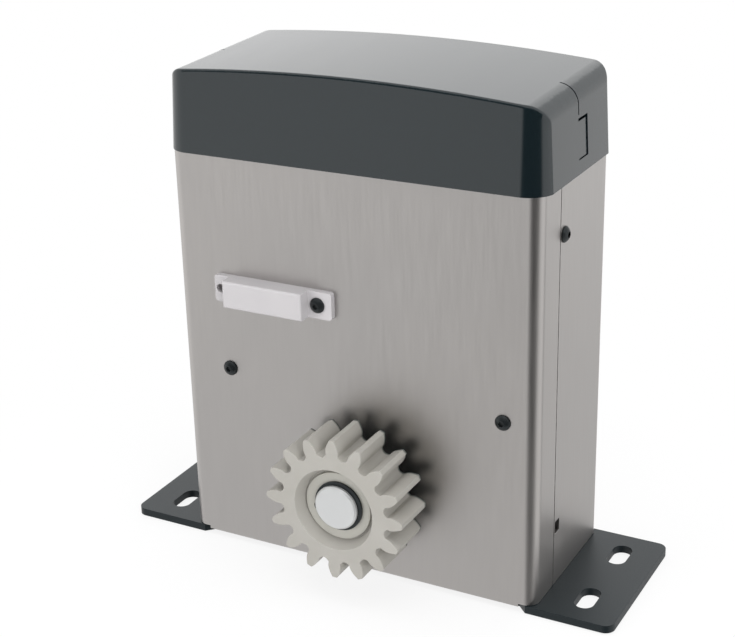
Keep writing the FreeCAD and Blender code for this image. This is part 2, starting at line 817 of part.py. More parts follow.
def upright(side):
    """Folded upright: web beside the cover, flanges front and rear, a foot and a shoulder."""
    web_in = upright_x - frame_sheet
    web_out = upright_x
    front = front_y + sheet + sheet_gap
    rear = rear_y - sheet - sheet_gap
    low = base_thickness
    high = tray_level
    pieces = [
        block((web_in, front, low), (web_out, rear, high)),
        block((web_out - flange_width, front, low + 14), (web_out, front + frame_sheet, high)),
        block((web_out - flange_width, rear - frame_sheet, low + 14), (web_out, rear, high)),
        block((web_out - foot_flange, front + 8, low), (web_out, rear - 8, low + frame_sheet)),
        block((web_out - foot_flange, front + 8, high - frame_sheet), (web_out, rear - 8, high)),
    ]
    solid = join(pieces)
    holes = []
    for x, z in cover_screw_places():
        if x * side > 0:
            holes.append(rod(button_m4[0] + 0.25, (abs(x), front - 1, z), (abs(x), front + 3, z)))
            holes.append(rod(button_m4[0] + 0.25, (abs(x), rear - 3, z), (abs(x), rear + 1, z)))
    for x, y in upright_foot_places[2:]:
        holes.append(rod(pan_m4[0] + 0.25, (x, y, low - 1), (x, y, low + 3)))
        holes.append(rod(pan_m4[0] + 0.25, (x, y, high - 3), (x, y, high + 1)))
    for y in shelf_screw_y:
        holes.append(rod(pan_m4[0] + 0.25, (web_in - 1, y, shelf_tab_z), (web_out + 1, y, shelf_tab_z)))
    holes.append(rod(spindle_radius + 3, (web_in - 1, spindle_y, shaft_height),
                     (web_out + 1, spindle_y, shaft_height)))
    for z in (130.0, 150.0):
        holes.append(rod(8.0, (web_in - 1, mid_y, z), (web_out + 1, mid_y, z)))
    solid = remove(solid, holes)
    return solid if side > 0 else mirror_x(solid)


shelf_screw_y = (-18.0, 14.0)
shelf_tab_z = shelf_level - 8.0


def equipment_shelf():
    """Folded shelf between the uprights, with a hole for the motor; it carries the transformer."""
    reach = upright_x - frame_sheet
    front = front_y + 8
    rear = rear_y - 8
    shelf = folded_sheet([(-reach, front, shelf_level - 15), (-reach, front, shelf_level),
                          (reach, front, shelf_level), (reach, front, shelf_level - 15)],
                         frame_sheet, (0, rear - front, 0), 1.0)
    holes = [on_motor(motor_radius + 1.5, shelf_level - 9, shelf_level + 3)]
    for side in (-1, 1):
        for y in shelf_screw_y:
            low, high = sorted((side * (reach - 4), side * (reach + 1)))
            holes.append(rod(pan_m4[0] + thread_play, (low, y, shelf_tab_z), (high, y, shelf_tab_z)))
    for x, y in transformer_screw_places():
        holes.append(rod(pan_m4[0] + thread_play, (x, y, shelf_level - 4), (x, y, shelf_level + 3)))
    holes.append(rod(9.0, (cable_x + 14, cable_y, shelf_level - 4),
                     (cable_x + 14, cable_y, shelf_level + 3)))
    return remove(shelf, holes)


def board_tray():
    """Folded tray on the uprights, with two slotted tabs that hold the top cover's screws."""
    reach = upright_x
    front = front_y + 8
    rear = rear_y - 8
    plate = folded_sheet([(-reach, front, tray_level + 9), (-reach, front, tray_level),
                          (-reach, rear, tray_level),
                          (-reach, rear, tray_level + 9)], frame_sheet, (2 * reach, 0, 0), 1.0)
    tabs = []
    slots = []
    for side, y in cap_screw_wells():
        low, high = sorted((side * (upright_x - frame_sheet), side * upright_x))
        tabs.append(block((low, y - 9, tray_level), (high, y + 9, cap_screw_z + 8)))
        slots.append(block((low - 1, y - cap_screw[0] - 0.6, cap_screw_z),
                           (high + 1, y + cap_screw[0] + 0.6, cap_screw_z + 9)))
        slots.append(rod(cap_screw[0] + 0.6, (low - 1, y, cap_screw_z), (high + 1, y, cap_screw_z)))
    for x, y in upright_foot_places:
        slots.append(rod(pan_m4[0] + 0.25, (x, y, tray_level - 1), (x, y, tray_level + 3)))
    for x, y in board_screw_places():
        slots.append(rod(board_m3[0] + thread_play, (x, y, tray_level - 1), (x, y, tray_level + 3)))
    slots.append(block((64, mid_y - 10, tray_level - 1), (72, mid_y + 10, tray_level + 3)))
    return remove(join([plate] + tabs), slots)


def frame_screws():
    """Pan-head screws of the uprights, the shelf, the transformer and the tray."""
    screws = []
    for x, y in upright_foot_places:
        screws.append(screw(pan_m4, (x, y, base_thickness + frame_sheet), (0, 0, -1),
                            frame_sheet + base_thickness - 0.5))
        screws.append(screw(pan_m4, (x, y, tray_level + frame_sheet), (0, 0, -1), 6))
    for side in (-1, 1):
        for y in shelf_screw_y:
            screws.append(screw(pan_m4, (side * upright_x, y, shelf_tab_z), (-side, 0, 0), 6))
    for x, y in transformer_screw_places():
        screws.append(screw(pan_m4, (x, y, shelf_level + transformer_foot), (0, 0, -1), 6))
    return screws


# ---------------------------------------------------------------- gearbox


def case_bolt_places():
    """Bolt centres round the parting face of the gearbox, as X and Z."""
    around = case_radius + 2.5
    places = []
    for degrees in (-32.0, 10.0, 52.0):
        turn = math.radians(degrees)
        places.append((pinion_x + around * math.cos(turn), shaft_height + around * math.sin(turn)))
    places.append((worm_x + 20, column_top - case_lug_radius))
    places.append((worm_x - worm_cavity_radius - 5.5, shaft_height + 24))
    places.append((worm_x - worm_cavity_radius - 5.5, shaft_height - 22))
    return places


def gearbox_form(front, rear):
    """Outside of the casting between two Y planes."""
    column_half = worm_cavity_radius + case_wall
    pieces = [
        on_output(case_radius, front, rear),
        rounded_block((worm_x - column_half + 3, max(front, column_front), base_thickness),
                      (pinion_x, min(rear, column_rear), column_top - 6), 3.0, (0, 1, 0)),
        block((foot_reach_left, front, base_thickness),
              (foot_reach_right, rear, base_thickness + foot_height)),
        block((worm_x, front, base_thickness), (pinion_x + 34, rear, shaft_height - 10)),
    ]
    for x, z in case_bolt_places():
        pieces.append(rod(case_lug_radius, (x, max(front, worm_y - 13), z), (x, min(rear, worm_y + 13), z)))
        toward_x = pinion_x if x > pinion_x - 10 else worm_x
        toward_z = shaft_height if x > pinion_x - 10 else z
        direction = V(toward_x - x, 0, toward_z - z).normalize()
        across = V(-direction.z, 0, direction.x) * case_lug_radius
        low = max(front, worm_y - 13)
        high = min(rear, worm_y + 13)
        start = V(x, low, z)
        end = start + direction * 12
        corners = [start + across, end + across, end - across, start - across]
        pieces.append(Part.Face(Part.makePolygon(corners + corners[:1])).extrude(V(0, high - low, 0)))
    form = join(pieces)
    flange = on_motor(motor_radius, column_top - 7, column_top)
    return join([form, flange.common(block((worm_x - 60, front, 0), (worm_x + 60, rear, 120)))])


def gearbox_cavity():
    """Everything inside the casting: wheel chamber, worm bore, bearing seats and holes."""
    y_front = wheel_front - 1.5
    y_back = rear_bearing_y - 0.6
    chamber = on_output(cavity_radius, y_front, y_back)
    worm_bore = on_motor(worm_cavity_radius, worm_bearing_low + worm_bearing[2] + 0.8,
                         worm_bearing_high - 0.8)
    return [
        chamber,
        worm_bore,
        on_motor(worm_bearing[1] + shaft_play, worm_bearing_low, column_top / 2),
        on_motor(worm_bearing[1] + shaft_play, column_top / 2, worm_bearing_high + worm_bearing[2]),
        on_motor(worm_bearing[0] + 1.5, worm_bearing_low - 3, column_top + 1),
        on_output(seal_radius + shaft_play, case_front - 1, front_bearing_y - 0.6),
        on_output(seal_radius - 2.5, case_front - 1, y_front + 1),
        on_output(front_bearing[1] + shaft_play, front_bearing_y, y_front + 1),
        on_output(rear_bearing[1] + shaft_play, y_back - 1, rear_bearing_y + rear_bearing[2]),
        rod(spindle_radius + shaft_play, (foot_reach_left - 20, spindle_y, shaft_height),
            (pinion_x - 20, spindle_y, shaft_height)),
    ]


def gearbox_half(front, rear):
    """One half of the casting, hollowed and drilled."""
    half = gearbox_form(front, rear)
    cutters = gearbox_cavity()
    for x, z in case_bolt_places():
        cutters.append(rod(case_bolt_radius + 0.1, (x, worm_y - 30, z), (x, worm_y + 30, z)))
        cutters.append(rod(bolt_m5[1] + 0.6, (x, worm_y + 13, z), (x, case_rear + 1, z)))
    for x, y in foot_bolt_places:
        cutters.append(rod(bolt_m6[0] + 0.3, (x, y, 0), (x, y, base_thickness + foot_height + 1)))
        cutters.append(rod(bolt_m6[1] + 1.0, (x, y, base_thickness + foot_height),
                           (x, y, base_thickness + foot_height + 30)))
    for x, y in motor_bolt_places():
        cutters.append(rod(motor_bolt_radius + thread_play, (x, y, column_top - 12),
                           (x, y, column_top + 1)))
    return remove(half, cutters)


def gearbox_front_case():
    """Front half of the gearbox, with the seal and the large bearing."""
    half = gearbox_half(case_front, worm_y - gasket / 2)
    scoops = []
    for degrees in range(-40, 221, 36):
        turn = math.radians(degrees)
        x = pinion_x + (case_radius + 2) * math.cos(turn)
        z = shaft_height + (case_radius + 2) * math.sin(turn)
        scoops.append(rod(6.0, (x, case_front - 1, z), (x, case_front + 12, z)))
    return remove(half, scoops)


def gearbox_rear_case():
    """Rear half of the gearbox, with the small bearing and the release spindle's bore."""
    return gearbox_half(worm_y + gasket / 2, case_rear)


def case_gasket():
    """Thin gasket between the two halves."""
    return gearbox_half(worm_y - gasket / 2, worm_y + gasket / 2)


def case_bolts():
    """Socket bolts through the rear half into the front half."""
    return [screw(bolt_m5, (x, worm_y + 13, z), (0, -1, 0), 22, False) for x, z in case_bolt_places()]


def gearbox_bolts():
    """Socket bolts through the gearbox's feet into the base plate."""
    return [screw(bolt_m6, (x, y, base_thickness + foot_height), (0, 0, -1),
                  foot_height + base_thickness - 0.5, False)
            for x, y in foot_bolt_places]


def bearings():
    """Sizes, first face and direction of the four bearings: output front and rear, worm lower and upper."""
    along_y = V(0, 1, 0)
    along_z = V(0, 0, 1)
    return [
        (front_bearing, V(pinion_x, front_bearing_y, shaft_height), along_y),
        (rear_bearing, V(pinion_x, rear_bearing_y, shaft_height), along_y),
        (worm_bearing, V(worm_x, worm_y, worm_bearing_low), along_z),
        (worm_bearing, V(worm_x, worm_y, worm_bearing_high), along_z),
    ]


def outer_race(sizes, start, axis):
    """Outer ring of one bearing."""
    bore, outer, width, ball, balls = sizes
    return ring(outer, (bore + outer) / 2 + ball + race_gap, tuple(start), tuple(start + axis * width))


def inner_race(sizes, start, axis):
    """Inner ring of one bearing."""
    bore, outer, width, ball, balls = sizes
    return ring((bore + outer) / 2 - ball - race_gap, bore, tuple(start), tuple(start + axis * width))


def ball_row(sizes, start, axis):
    """Balls of one bearing, evenly spaced."""
    bore, outer, width, ball, balls = sizes
    centre = start + axis * (width / 2)
    first = Part.makeSphere(ball, centre + V((bore + outer) / 2, 0, 0))
    return [turned(first, tuple(centre), tuple(axis), 360.0 * step / balls) for step in range(balls)]


def bearing_outer_races():
    """Outer rings of the four bearings."""
    return [outer_race(*bearing) for bearing in bearings()]


def bearing_balls():
    """Balls of the four bearings."""
    return [ball for bearing in bearings() for ball in ball_row(*bearing)]


def bearing_inner_races():
    """Inner rings of the output shaft's two bearings."""
    return [inner_race(*bearing) for bearing in bearings()[:2]]


def oil_seal():
    """Rubber lip seal in front of the large bearing."""
    lip = shoulder_shaft_radius + 0.1
    outline = [
        (seal_radius, 0),
        (seal_radius, seal_width),
        (seal_radius - 2, seal_width),
        (seal_radius - 2, 2),
        (lip + 2.2, 2),
        (lip + 2.2, seal_width - 1),
        (lip + 0.6, seal_width - 1),
        (lip, seal_width - 2),
        (lip + 0.6, 0),
    ]
    corners = [V(pinion_x + radius, case_front + depth, shaft_height) for radius, depth in outline]
    profile = Part.Face(Part.makePolygon(corners + corners[:1]))
    return profile.revolve(V(pinion_x, 0, shaft_height), V(0, 1, 0), 360)


# ---------------------------------------------------------------- output shaft and what turns with it


def output_shaft():
    """Stepped shaft from the pinion through both bearings, with keyways and a groove for the circlip."""
    shaft = join([
        on_output(shaft_radius, shaft_front, pinion_back),
        on_output(shoulder_shaft_radius, pinion_back, collar_front),
        on_output(collar_radius, collar_front, wheel_front),
        on_output(wheel_seat_radius, wheel_front, rear_bearing_y),
        on_output(rear_journal_radius, rear_bearing_y, rear_bearing_y + rear_bearing[2] - 0.3),
    ])
    nose = [edge for edge in shaft.Edges if abs(edge.CenterOfMass.y - shaft_front) < 0.01]
    shaft = shaft.makeChamfer(0.8, nose)
    groove = ring_on_output(shaft_radius + 1, shaft_radius - 0.6, circlip_front,
                            circlip_front + circlip_thickness + 0.05)
    ways = [key_block(pinion_key, 0), key_block(clutch_key, 0)]
    return remove(shaft, [groove] + ways)


circlip_front = dish_floor - washer_thickness - circlip_thickness - 0.1
# keys: (width, front end, rear end, height above the axis, depth to the seat)
pinion_key = (6.0, dish_floor + 2, pinion_back - 1, shaft_radius + 2.6, shaft_radius - 3.4)
clutch_key = (7.0, hub_back + 0.5, rear_bearing_y - 0.4, wheel_seat_radius + 2.6, wheel_seat_radius - 3.6)


def key_block(key, clearance):
    """Flat key above the shaft's axis, or its keyway with a clearance."""
    width, front, rear, top, seat = key
    half = width / 2 + clearance
    return block((pinion_x - half, front - clearance, shaft_height + seat),
                 (pinion_x + half, rear + clearance, shaft_height + top + clearance))


def pinion():
    """Rack pinion with a dished front round the washer and the circlip."""
    gear = spur_gear(pinion_module, pinion_teeth, 0.25, 1.25, 5, pinion_phase, pinion_width,
                     (pinion_x, pinion_front, shaft_height))
    bore = on_output(shaft_radius + shaft_play, pinion_front - 1, pinion_back + 1)
    dish = cone(dish_radius, dish_floor_radius, (pinion_x, pinion_front, shaft_height),
                (pinion_x, dish_floor, shaft_height))
    way = key_block(pinion_key, shaft_play)
    return remove(gear, [bore, dish, way])


def retaining_washer():
    """Plain washer between the pinion and the circlip."""
    return ring_on_output(washer_radius, shaft_radius + 0.2, dish_floor - washer_thickness, dish_floor)


def circlip():
    """Spring retaining ring, open at the top, with an eyed lug each side of its gap."""
    start = (pinion_x, circlip_front, shaft_height)
    end = (pinion_x, circlip_front + circlip_thickness, shaft_height)
    body = ring(circlip_radius, shaft_radius - 0.5, start, end)
    gap = block((pinion_x - 1.6, circlip_front - 1, shaft_height),
                (pinion_x + 1.6, circlip_front + 3, shaft_height + 20))
    lugs = []
    eyes = []
    for side in (-1, 1):
        x = pinion_x + side * 3.6
        z = shaft_height + circlip_radius - 0.4
        lugs.append(rod(2.0, (x, start[1], z), (x, end[1], z)))
        eyes.append(rod(0.9, (x, start[1] - 1, z), (x, end[1] + 1, z)))
    shaft_room = rod(shaft_radius - 0.5, (start[0], start[1] - 1, start[2]), (end[0], end[1] + 1, end[2]))
    clip = remove(join([body] + lugs), [gap, shaft_room] + eyes)
    return turned(clip, start, (0, 1, 0), circlip_turn)


circlip_turn = 60.0


def shaft_keys():
    """The pinion's key and the clutch's key."""
    return [key_block(pinion_key, 0), key_block(clutch_key, 0)]


def worm_wheel():
    """Bronze wheel with slanted teeth, a lightened web and four slots for the clutch in its hub."""
    twist = math.degrees(wheel_width * worm_lead_slope / wheel_pitch_radius)
    phase = 180.0 + 180.0 / worm_wheel_teeth
    wires = []
    for y, turn in ((wheel_front, -twist / 2), (wheel_back, twist / 2)):
        wire = gear_outline(worm_module, worm_wheel_teeth, mesh_play / 2, 1.25, 3, phase)
        wire.translate(V(pinion_x, y, shaft_height))
        wire.rotate(V(pinion_x, y, shaft_height), V(0, 1, 0), turn)
        wires.append(wire)
    toothed = Part.makeLoft(wires, True, True)
    hub = on_output(hub_radius, wheel_back - 1, hub_back)
    web = ring_on_output(wheel_pitch_radius - 6, hub_radius, wheel_front - 1, wheel_front + 4)
    bore = on_output(wheel_seat_radius + shaft_play, wheel_front - 1, hub_back + 1)
    slot_floor = hub_back - dog_tooth - dog_play
    slots = [dog_sector(wheel_seat_radius - 1, hub_radius + 1, dog_angle + 6, step * 90, slot_floor,
                        hub_back + 1)
             for step in range(4)]
    return remove(join([toothed, hub]), [web, bore] + slots)


worm_lead_slope = worm_module / (2 * worm_radius)
dog_angle = 40.0


def dog_sector(inner, outer, degrees, middle, front, rear):
    """Sector of a ring about the output axis."""
    half = math.radians(degrees / 2)
    turn = math.radians(middle)
    far = outer * 1.6
    wedge = prism([
        (pinion_x, front, shaft_height),
        (pinion_x + far * math.cos(turn - half), front, shaft_height + far * math.sin(turn - half)),
        (pinion_x + far * math.cos(turn), front, shaft_height + far * math.sin(turn)),
        (pinion_x + far * math.cos(turn + half), front, shaft_height + far * math.sin(turn + half)),
    ], (0, rear - front, 0))
    return ring_on_output(outer, inner, front, rear).common(wedge)


def clutch_dog():
    """Sliding half of the dog clutch, with a groove that the release pin works in."""
    start = (pinion_x, dog_front, shaft_height)
    end = (pinion_x, dog_front + dog_width, shaft_height)
    body = rod(dog_radius, start, end)
    groove = ring_on_output(dog_radius + 1, dog_radius - groove_depth, groove_y - groove_width / 2,
                            groove_y + groove_width / 2)
    teeth = [dog_sector(wheel_seat_radius + 0.5, dog_radius, dog_angle, step * 90, dog_front - dog_tooth,
                        dog_front + 1)
             for step in range(4)]
    bore = on_output(wheel_seat_radius + shaft_play, dog_front - dog_tooth - 1, dog_front + dog_width + 1)
    width, front, rear, top, seat = clutch_key
    way = block((pinion_x - width / 2 - shaft_play, dog_front - dog_tooth - 1, shaft_height),
                (pinion_x + width / 2 + shaft_play, dog_front + dog_width + 1, shaft_height + top + 0.2))
    return remove(join([body] + teeth), [groove, bore, way])


def release_spindle():
    """Spindle from the hidden end of the housing to the clutch, with an eccentric pin."""
    outer_end = -side_x - 1.0
    pin_y = spindle_y - release_throw / math.sqrt(2)
    pin_z = shaft_height - release_throw / math.sqrt(2)
    pin_tip = pinion_x - dog_radius + groove_depth - part_play - 0.6
    square = 3.6
    pieces = [
        rod(spindle_radius, (outer_end, spindle_y, shaft_height), (spindle_inner, spindle_y, shaft_height)),
        rod(release_pin_radius, (spindle_inner - 2, pin_y, pin_z), (pin_tip, pin_y, pin_z)),
        block((outer_end - lever_thickness, spindle_y - square, shaft_height - square),
              (outer_end + 1, spindle_y + square, shaft_height + square)),
    ]
    return join(pieces)


def release_lever():
    """Flat lever on the spindle's square, upright when the drive is engaged."""
    outer_end = -side_x - 1.0
    low = outer_end - lever_thickness
    hub = rod(10.0, (low, spindle_y, shaft_height), (outer_end, spindle_y, shaft_height))
    tip_z = shaft_height + lever_length
    arm = prism([(low, spindle_y - 7, shaft_height), (low, spindle_y + 7, shaft_height),
                 (low, spindle_y + 5, tip_z), (low, spindle_y - 5, tip_z)], (lever_thickness - 1.5, 0, 0))
    tip = rod(5.0, (low, spindle_y, tip_z), (low + lever_thickness - 1.5, spindle_y, tip_z))
    square = 3.6 + shaft_play
    hole = block((low - 1, spindle_y - square, shaft_height - square),
                 (outer_end + 1, spindle_y + square, shaft_height + square))
    return remove(join([hub, arm, tip]), [hole])


# ---------------------------------------------------------------- motor


def worm_shaft():
    """Motor shaft with the worm cut on it."""
    low = shaft_height - worm_length / 2
    high = shaft_height + worm_length / 2
    root = worm_radius - 1.25 * worm_module
    core = join([
        on_motor(worm_bearing[0], worm_bearing_low - 1, motor_top - 3),
        on_motor(root, low - 5, high + 5),
    ])
    lead = math.pi * worm_module
    alpha = math.tan(math.radians(pressure_angle))
    half_pitch_width = (lead / 2 - mesh_play) / 2
    tip = worm_radius + worm_module
    sunk = root - 0.4
    half_tip = half_pitch_width - worm_module * alpha
    half_root = half_pitch_width + (worm_radius - sunk) * alpha
    turns = worm_length / lead
    start_z = shaft_height - math.floor(turns / 2) * lead
    height = 2 * math.floor(turns / 2) * lead
    helix = Part.makeHelix(lead, height, worm_radius)
    corners = [V(sunk, 0, -half_root), V(tip, 0, -half_tip), V(tip, 0, half_tip), V(sunk, 0, half_root)]
    profile = Part.makePolygon(corners + corners[:1])
    thread = Part.Wire(helix).makePipeShell([profile], True, True)
    thread.translate(V(worm_x, worm_y, start_z))
    return core.fuse(thread)


def worm_inner_races():
    """Inner rings of the worm's two bearings."""
    return [inner_race(*bearing) for bearing in bearings()[2:]]


motor_bolt_radius = 2.0


def motor_bolt_places():
    """Centres of the two through bolts, in line with the gaps between the magnets."""
    return [(worm_x, worm_y - through_bolt_circle), (worm_x, worm_y + through_bolt_circle)]


def motor_front_plate():
    """Aluminium plate between the gearbox and the motor can."""
    plate = on_motor(motor_radius, motor_bottom, can_bottom)
    holes = [on_motor(worm_bearing[0] + 1.5, motor_bottom - 1, can_bottom + 1)]
    for x, y in motor_bolt_places():
        holes.append(rod(motor_bolt_radius + 0.2, (x, y, motor_bottom - 1), (x, y, can_bottom + 1)))
    return remove(plate, holes)


def motor_can():
    """Steel tube round the magnets."""
    return ring_on_motor(motor_radius, motor_radius - can_wall, can_bottom, can_top)


def motor_end_bell():
    """Moulded end with the rear bearing seat and two brush boxes."""
    bell = on_motor(motor_radius, can_top, motor_top)
    top_edges = [edge for edge in bell.Edges if abs(edge.CenterOfMass.z - motor_top) < 0.01]
    bell = bell.makeFillet(2.5, top_edges)
    inside = on_motor(motor_radius - 4, can_top - 1, motor_top - 2.5)
    seat = ring_on_motor(worm_bearing[0] + 4, worm_bearing[0] + shaft_play, motor_top - 3.8, motor_top - 1)
    boxes = []
    for side in (-1, 1):
        low, high = sorted((worm_x + side * (brush_inner + 2), worm_x + side * (motor_radius - 3)))
        boxes.append(block((low, worm_y - 5, can_top), (high, worm_y + 5, motor_top - 2)))
    bell = join([bell.cut(inside), seat] + boxes)
    holes = []
    for side in (-1, 1):
        low, high = sorted((worm_x + side * brush_inner, worm_x + side * (brush_outer + 0.2)))
        holes.append(block((low, worm_y - brush_half - 0.1, can_top - 1),
                           (high, worm_y + brush_half + 0.1, can_top + brush_height + 0.1)))
    for x, y in motor_bolt_places():
        holes.append(rod(motor_bolt_radius + 0.2, (x, y, can_top - 1), (x, y, motor_top + 1)))
    return remove(bell, holes)


commutator_radius = 9.0
brush_inner = commutator_radius + 0.1
brush_outer = 20.0
brush_half = 3.0
brush_height = 4.5


def motor_magnets():
    """Two arc magnets inside the can."""
    outer = motor_radius - can_wall
    body = ring_on_motor(outer, outer - magnet_thickness, can_bottom + 8,
                         can_bottom + 8 + armature_length + 6)
    magnets = []
    for side in (-1, 1):
        far = side * outer * 2
        wedge = prism([(worm_x, worm_y, can_bottom), (worm_x + far, worm_y - outer * 1.6, can_bottom),
                       (worm_x + far, worm_y + outer * 1.6, can_bottom)], (0, 0, can_length))
        magnets.append(body.common(wedge))
    return magnets


def motor_brushes():
    """Two carbon brushes on the commutator."""
    brushes = []
    for side in (-1, 1):
        low, high = sorted((worm_x + side * brush_inner, worm_x + side * brush_outer))
        brushes.append(block((low, worm_y - brush_half, can_top),
                             (high, worm_y + brush_half, can_top + brush_height)))
    return brushes


def motor_bolts():
    """Long bolts that hold the motor to the gearbox."""
    length = motor_top - column_top + 10
    return [screw((motor_bolt_radius, 3.5, 2.6, 1.3), (x, y, motor_top), (0, 0, -1), length)
            for x, y in motor_bolt_places()]


armature_bottom = can_bottom + 11.0


def armature_core():
    """Laminated armature with slots for the winding."""
    low = armature_bottom
    high = armature_bottom + armature_length
    core = ring_on_motor(armature_radius, worm_bearing[0], low, high)
    slots = []
    for step in range(armature_slots):
        slot = block((worm_x + armature_radius * 0.62, worm_y - 1.5, low - 1),
                     (worm_x + armature_radius + 1, worm_y + 1.5, high + 1))
        slots.append(turned(slot, (worm_x, worm_y, 0), (0, 0, 1), 360.0 * step / armature_slots))
    return remove(core, slots)


def armature_winding():
    """Copper in the armature's slots and its two end turns, as one wound body."""
    low = armature_bottom
    high = armature_bottom + armature_length
    inner = worm_bearing[0] + 1.5
    outer = armature_radius - 2.0
    heads = [ring_on_motor(outer, inner, low - 6, low),
             ring_on_motor(outer, inner, high, high + 5)]
    bars = []
    for step in range(armature_slots):
        bar = block((worm_x + armature_radius * 0.62, worm_y - 1.5, low),
                    (worm_x + outer - 0.5, worm_y + 1.5, high))
        bars.append(turned(bar, (worm_x, worm_y, 0), (0, 0, 1), 360.0 * step / armature_slots))
    return join(heads + bars)


def commutator():
    """Copper commutator under the brushes."""
    low = armature_bottom + armature_length + 6
    high = can_top + brush_height + 0.2
    body = ring_on_motor(commutator_radius, worm_bearing[0], low, high)
    cuts = []
    for step in range(armature_slots):
        cut = block((worm_x + commutator_radius - 1, worm_y - 0.25, low - 1),
                    (worm_x + commutator_radius + 1, worm_y + 0.25, high + 1))
        cuts.append(turned(cut, (worm_x, worm_y, 0), (0, 0, 1), 360.0 * (step + 0.5) / armature_slots))
    return remove(body, cuts)


# ---------------------------------------------------------------- transformer

transformer_x = 46.0
transformer_y = -3.0
transformer_width = 60.0
transformer_stack = 28.0
transformer_height = 50.0
transformer_foot = 1.5
winding_depth = 46.0


def transformer_screw_places():
    """Centres of the transformer's four foot screws."""
    return [(transformer_x + side * (transformer_width / 2 - 6),
             transformer_y + end * (transformer_stack / 2 + 5))
            for side in (-1, 1) for end in (-1, 1)]


def transformer_core():
    """Stacked core with two windows, on a foot plate with four holes."""
    low = shelf_level + transformer_foot
    front = transformer_y - transformer_stack / 2
    rear = transformer_y + transformer_stack / 2
    left = transformer_x - transformer_width / 2
    right = transformer_x + transformer_width / 2
    leg = transformer_width / 6
    core = block((left, front, low), (right, rear, low + transformer_height))
    foot = block((left, front - 9, shelf_level), (right, rear + 9, low))
    cuts = []
    for start in (left + leg, transformer_x + leg):
        cuts.append(block((start, front - 1, low + leg),
                          (start + leg, rear + 1, low + transformer_height - leg)))
    for x, y in transformer_screw_places():
        cuts.append(rod(pan_m4[0] + 0.3, (x, y, shelf_level - 1), (x, y, low + 1)))
    return remove(join([core, foot]), cuts)


def transformer_coil():
    """Winding on the core's middle leg, between two bobbin cheeks."""
    low = shelf_level + transformer_foot
    leg = transformer_width / 6
    room = 0.3
    low_z = low + leg + room
    high_z = low + transformer_height - leg - room
    outer_x = 2 * leg - room
    half_y = winding_depth / 2
    winding = rounded_block((transformer_x - outer_x, transformer_y - half_y, low_z + 2),
                            (transformer_x + outer_x, transformer_y + half_y, high_z - 2), 4.0, (0, 0, 1))
    cheeks = []
    for z in (low_z, high_z - 2):
        cheeks.append(block((transformer_x - outer_x, transformer_y - half_y - 1, z),
                            (transformer_x + outer_x, transformer_y + half_y + 1, z + 2)))
    centre = block((transformer_x - leg - room, transformer_y - transformer_stack / 2 - room, low_z - 1),
                   (transformer_x + leg + room, transformer_y + transformer_stack / 2 + room, high_z + 1))
    return join([winding] + cheeks).cut(centre)


# ---------------------------------------------------------------- control board

board_x = -2.0


def board_screw_places():
    """Centres of the board's four screws."""
    reach_x = board_length / 2 - 5
    reach_y = board_depth / 2 - 5
    return [(board_x + side * reach_x, mid_y + end * reach_y) for side in (-1, 1) for end in (-1, 1)]


def control_board():
    """Printed circuit board on four spacers."""
    board = rounded_block((board_x - board_length / 2, mid_y - board_depth / 2, board_bottom),
                          (board_x + board_length / 2, mid_y + board_depth / 2, board_top), 2.0, (0, 0, 1))
    radius = board_m3[0] + 0.2
    holes = [rod(radius, (x, y, board_bottom - 1), (x, y, board_top + 1)) for x, y in board_screw_places()]
    return remove(board, holes)


def board_spacers():
    """Round spacers between the tray and the board."""
    low = tray_level + frame_sheet
    return [ring(3.0, board_m3[0] + 0.15, (x, y, low), (x, y, board_bottom))
            for x, y in board_screw_places()]


def board_screws():
    """Small pan-head screws through the board and spacers into the tray."""
    length = board_thickness + board_standoff + frame_sheet + 1.5
    return [screw(board_m3, (x, y, board_top), (0, 0, -1), length) for x, y in board_screw_places()]


def on_board(x, y, width, depth, height, edge=0.6):
    """Component body that stands on the board, with its upright edges and top softened."""
    body = block((board_x + x - width / 2, mid_y + y - depth / 2, board_top),
                 (board_x + x + width / 2, mid_y + y + depth / 2, board_top + height))
    upper = [side for side in body.Edges if side.CenterOfMass.z > board_top + 0.1]
    return body.makeChamfer(edge, upper)


def relays():
    """Two changeover relays that reverse the motor."""
    return [on_board(x, 14.0, 19.0, 15.0, 15.5) for x in (-8.0, 14.0)]


def terminal_blocks():
    """Two rows of screw terminals along the board's front edge."""
    rows = []
    for start in (-62.0, 12.0):
        ways = 6
        pitch = 7.6
        low = board_x + start
        front = mid_y - board_depth / 2 + 2
        body = prism([(low, front, board_top), (low, front + 12, board_top),
                      (low, front + 12, board_top + 13),
                      (low, front + 5, board_top + 13), (low, front, board_top + 9)], (ways * pitch, 0, 0))
        cuts = []
        for way in range(ways):
            x = low + pitch * (way + 0.5)
            cuts.append(block((x - 2.4, front - 1, board_top + 1.5), (x + 2.4, front + 5, board_top + 6.5)))
            cuts.append(rod(2.2, (x, front + 8.6, board_top + 8), (x, front + 8.6, board_top + 14)))
        rows.append(remove(body, cuts))
    return rows


def fuse_holder():
    """Open fuse clips with a glass fuse between them."""
    x = board_x - 52.0
    y = mid_y + 14.0
    axis_z = board_top + 7
    base = block((x - 11, y - 5, board_top), (x + 11, y + 5, board_top + 2.5))
    posts = [block((end - 2.5, y - 3.6, board_top), (end + 2.5, y + 3.6, axis_z)) for end in (x - 8, x + 8)]
    fuse = rod(3.0, (x - 10.5, y, axis_z), (x + 10.5, y, axis_z))
    return join([base] + posts + [fuse])


def capacitors():
    """Two smoothing capacitors."""
    cans = []
    for x, y in ((-32.0, 14.0), (-32.0, -5.0)):
        can = rod(8.0, (board_x + x, mid_y + y, board_top), (board_x + x, mid_y + y, board_top + 24))
        rim = [edge for edge in can.Edges if abs(edge.CenterOfMass.z - board_top - 24) < 0.01]
        cans.append(can.makeFillet(1.0, rim))
    return cans


